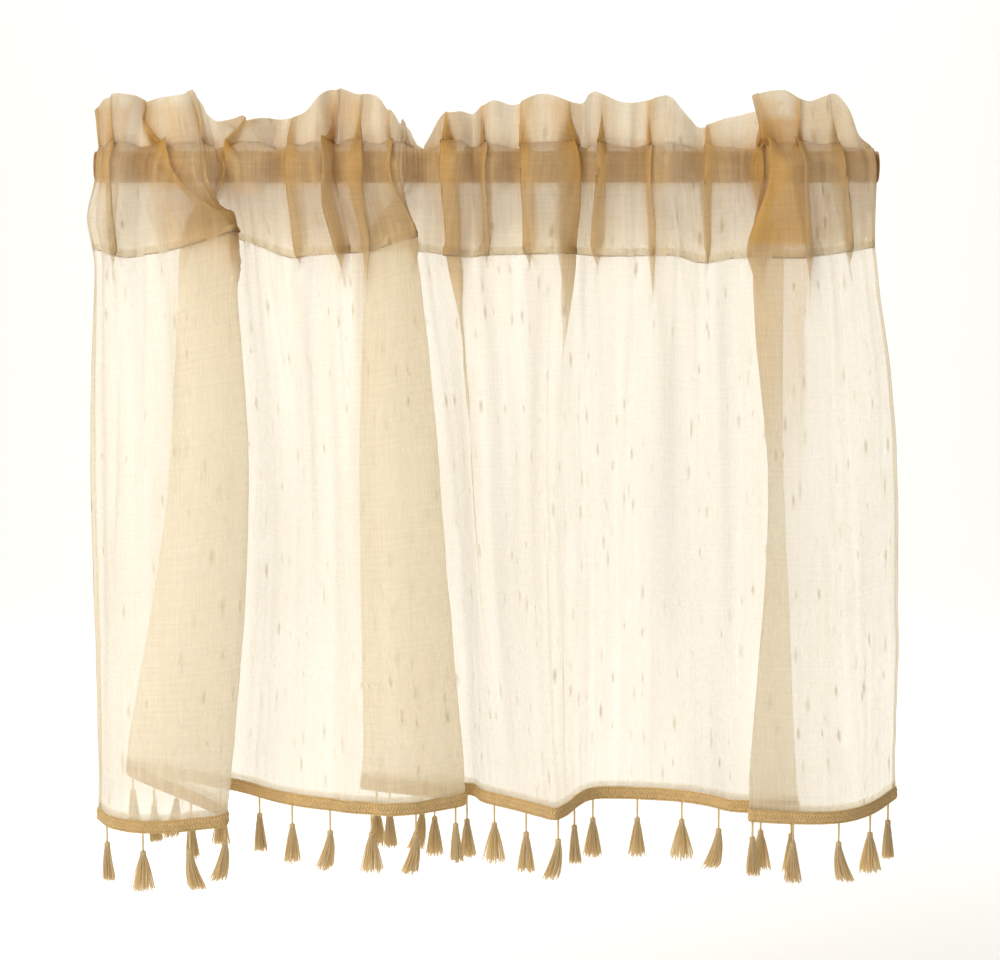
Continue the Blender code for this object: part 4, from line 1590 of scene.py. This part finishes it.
class CURTAIN_OT_stage(bpy.types.Operator):
    """Set the floor, the soft studio light and the camera"""

    bl_idname = "curtain.stage"
    bl_label = "Stage"

    def execute(self, context):
        s = context.scene.curtain_stage
        scene = context.scene
        self.lay_floor(s)
        scene.world = bpy.data.worlds.new("studio")
        scene.world.use_nodes = True
        background = scene.world.node_tree.nodes["Background"]
        background.inputs["Color"].default_value = (*ROOM_COLOR, 1.0)
        background.inputs["Strength"].default_value = s.room_light
        backdrop = (MIDDLE.x, 3.2, -0.5)
        self.light("backdrop_soft", (MIDDLE.x, 1.3, 2.1), backdrop, 1.6, s.backdrop_light, ROOM_COLOR)
        self.light("back_soft", (-0.60, 0.90, -0.28), MIDDLE, 0.8, s.back_light, (1.0, 0.97, 0.93))
        self.light("front_soft", (-0.7, -1.7, 1.0), MIDDLE, 1.8, s.front_light, (1.0, 0.98, 0.95))
        place = (MIDDLE.x, -s.camera_distance, 0.0)
        camera = self.placed("camera", bpy.data.cameras.new("camera"), place, MIDDLE)
        camera.data.lens = s.lens
        scene.camera = camera
        scene.view_settings.view_transform = "Standard"
        return {"FINISHED"}

    def lay_floor(self, s):
        """A pale floor that curves up into a backdrop."""
        turns = np.linspace(0.0, math.pi / 2, FLOOR_CURVE_STEPS)[1:]
        profile = [(FLOOR_FRONT, 0.0), (FLOOR_BACK, 0.0)]
        profile += [(FLOOR_BACK + FLOOR_CURVE * math.sin(a), FLOOR_CURVE * (1 - math.cos(a))) for a in turns]
        profile.append((FLOOR_BACK + FLOOR_CURVE, BACKDROP_HEIGHT))
        sides = (MIDDLE.x - FLOOR_HALF_WIDTH, MIDDLE.x + FLOOR_HALF_WIDTH)
        points = [(x, y, s.floor_height + z) for y, z in profile for x in sides]
        faces = [(2 * i, 2 * i + 1, 2 * i + 3, 2 * i + 2) for i in range(len(profile) - 1)]
        mesh = bpy.data.meshes.new("floor")
        mesh.from_pydata(points, [], faces)
        mesh.shade_smooth()
        mesh.materials.append(stage_material("floor_paint", s.floor_color))
        new_piece("floor", mesh)

    def light(self, name, place, aim, size, power, color):
        data = bpy.data.lights.new(name, "AREA")
        data.size = size
        data.energy = power
        data.color = color
        self.placed(name, data, place, aim)

    def placed(self, name, data, place, aim):
        """A lamp or camera at a place, turned towards its aim."""
        thing = new_piece(name, data)
        thing.location = place
        thing.rotation_euler = (Vector(aim) - thing.location).to_track_quat("-Z", "Y").to_euler()
        return thing


class CURTAIN_PT_panel(bpy.types.Panel):
    bl_idname = "CURTAIN_PT_panel"
    bl_label = "Cafe curtain"
    bl_space_type = "VIEW_3D"
    bl_region_type = "UI"
    bl_category = "Curtain"

    def draw(self, context):
        for group in SETTINGS:
            settings = getattr(context.scene, group)
            box = self.layout.box()
            for name in settings.__annotations__:
                box.prop(settings, name)
        for operator in OPERATORS:
            self.layout.operator(operator.bl_idname)


SETTINGS = {
    "curtain_cloth": CurtainCloth,
    "curtain_trim": CurtainTrim,
    "curtain_rod": CurtainRod,
    "curtain_stage": CurtainStage,
}
OPERATORS = (
    CURTAIN_OT_rod,
    CURTAIN_OT_panel,
    CURTAIN_OT_stitching,
    CURTAIN_OT_braid,
    CURTAIN_OT_tassels,
    CURTAIN_OT_stage,
)


def register():
    for kind in (*SETTINGS.values(), *OPERATORS, CURTAIN_PT_panel):
        bpy.utils.register_class(kind)
    for name, kind in SETTINGS.items():
        setattr(bpy.types.Scene, name, bpy.props.PointerProperty(type=kind))


def unregister():
    for name in SETTINGS:
        delattr(bpy.types.Scene, name)
    for kind in (CURTAIN_PT_panel, *reversed(OPERATORS), *SETTINGS.values()):
        bpy.utils.unregister_class(kind)


def main():
    register()
    for operator in OPERATORS:
        area, name = operator.bl_idname.split(".")
        getattr(getattr(bpy.ops, area), name)()


if __name__ == "__main__":
    main()
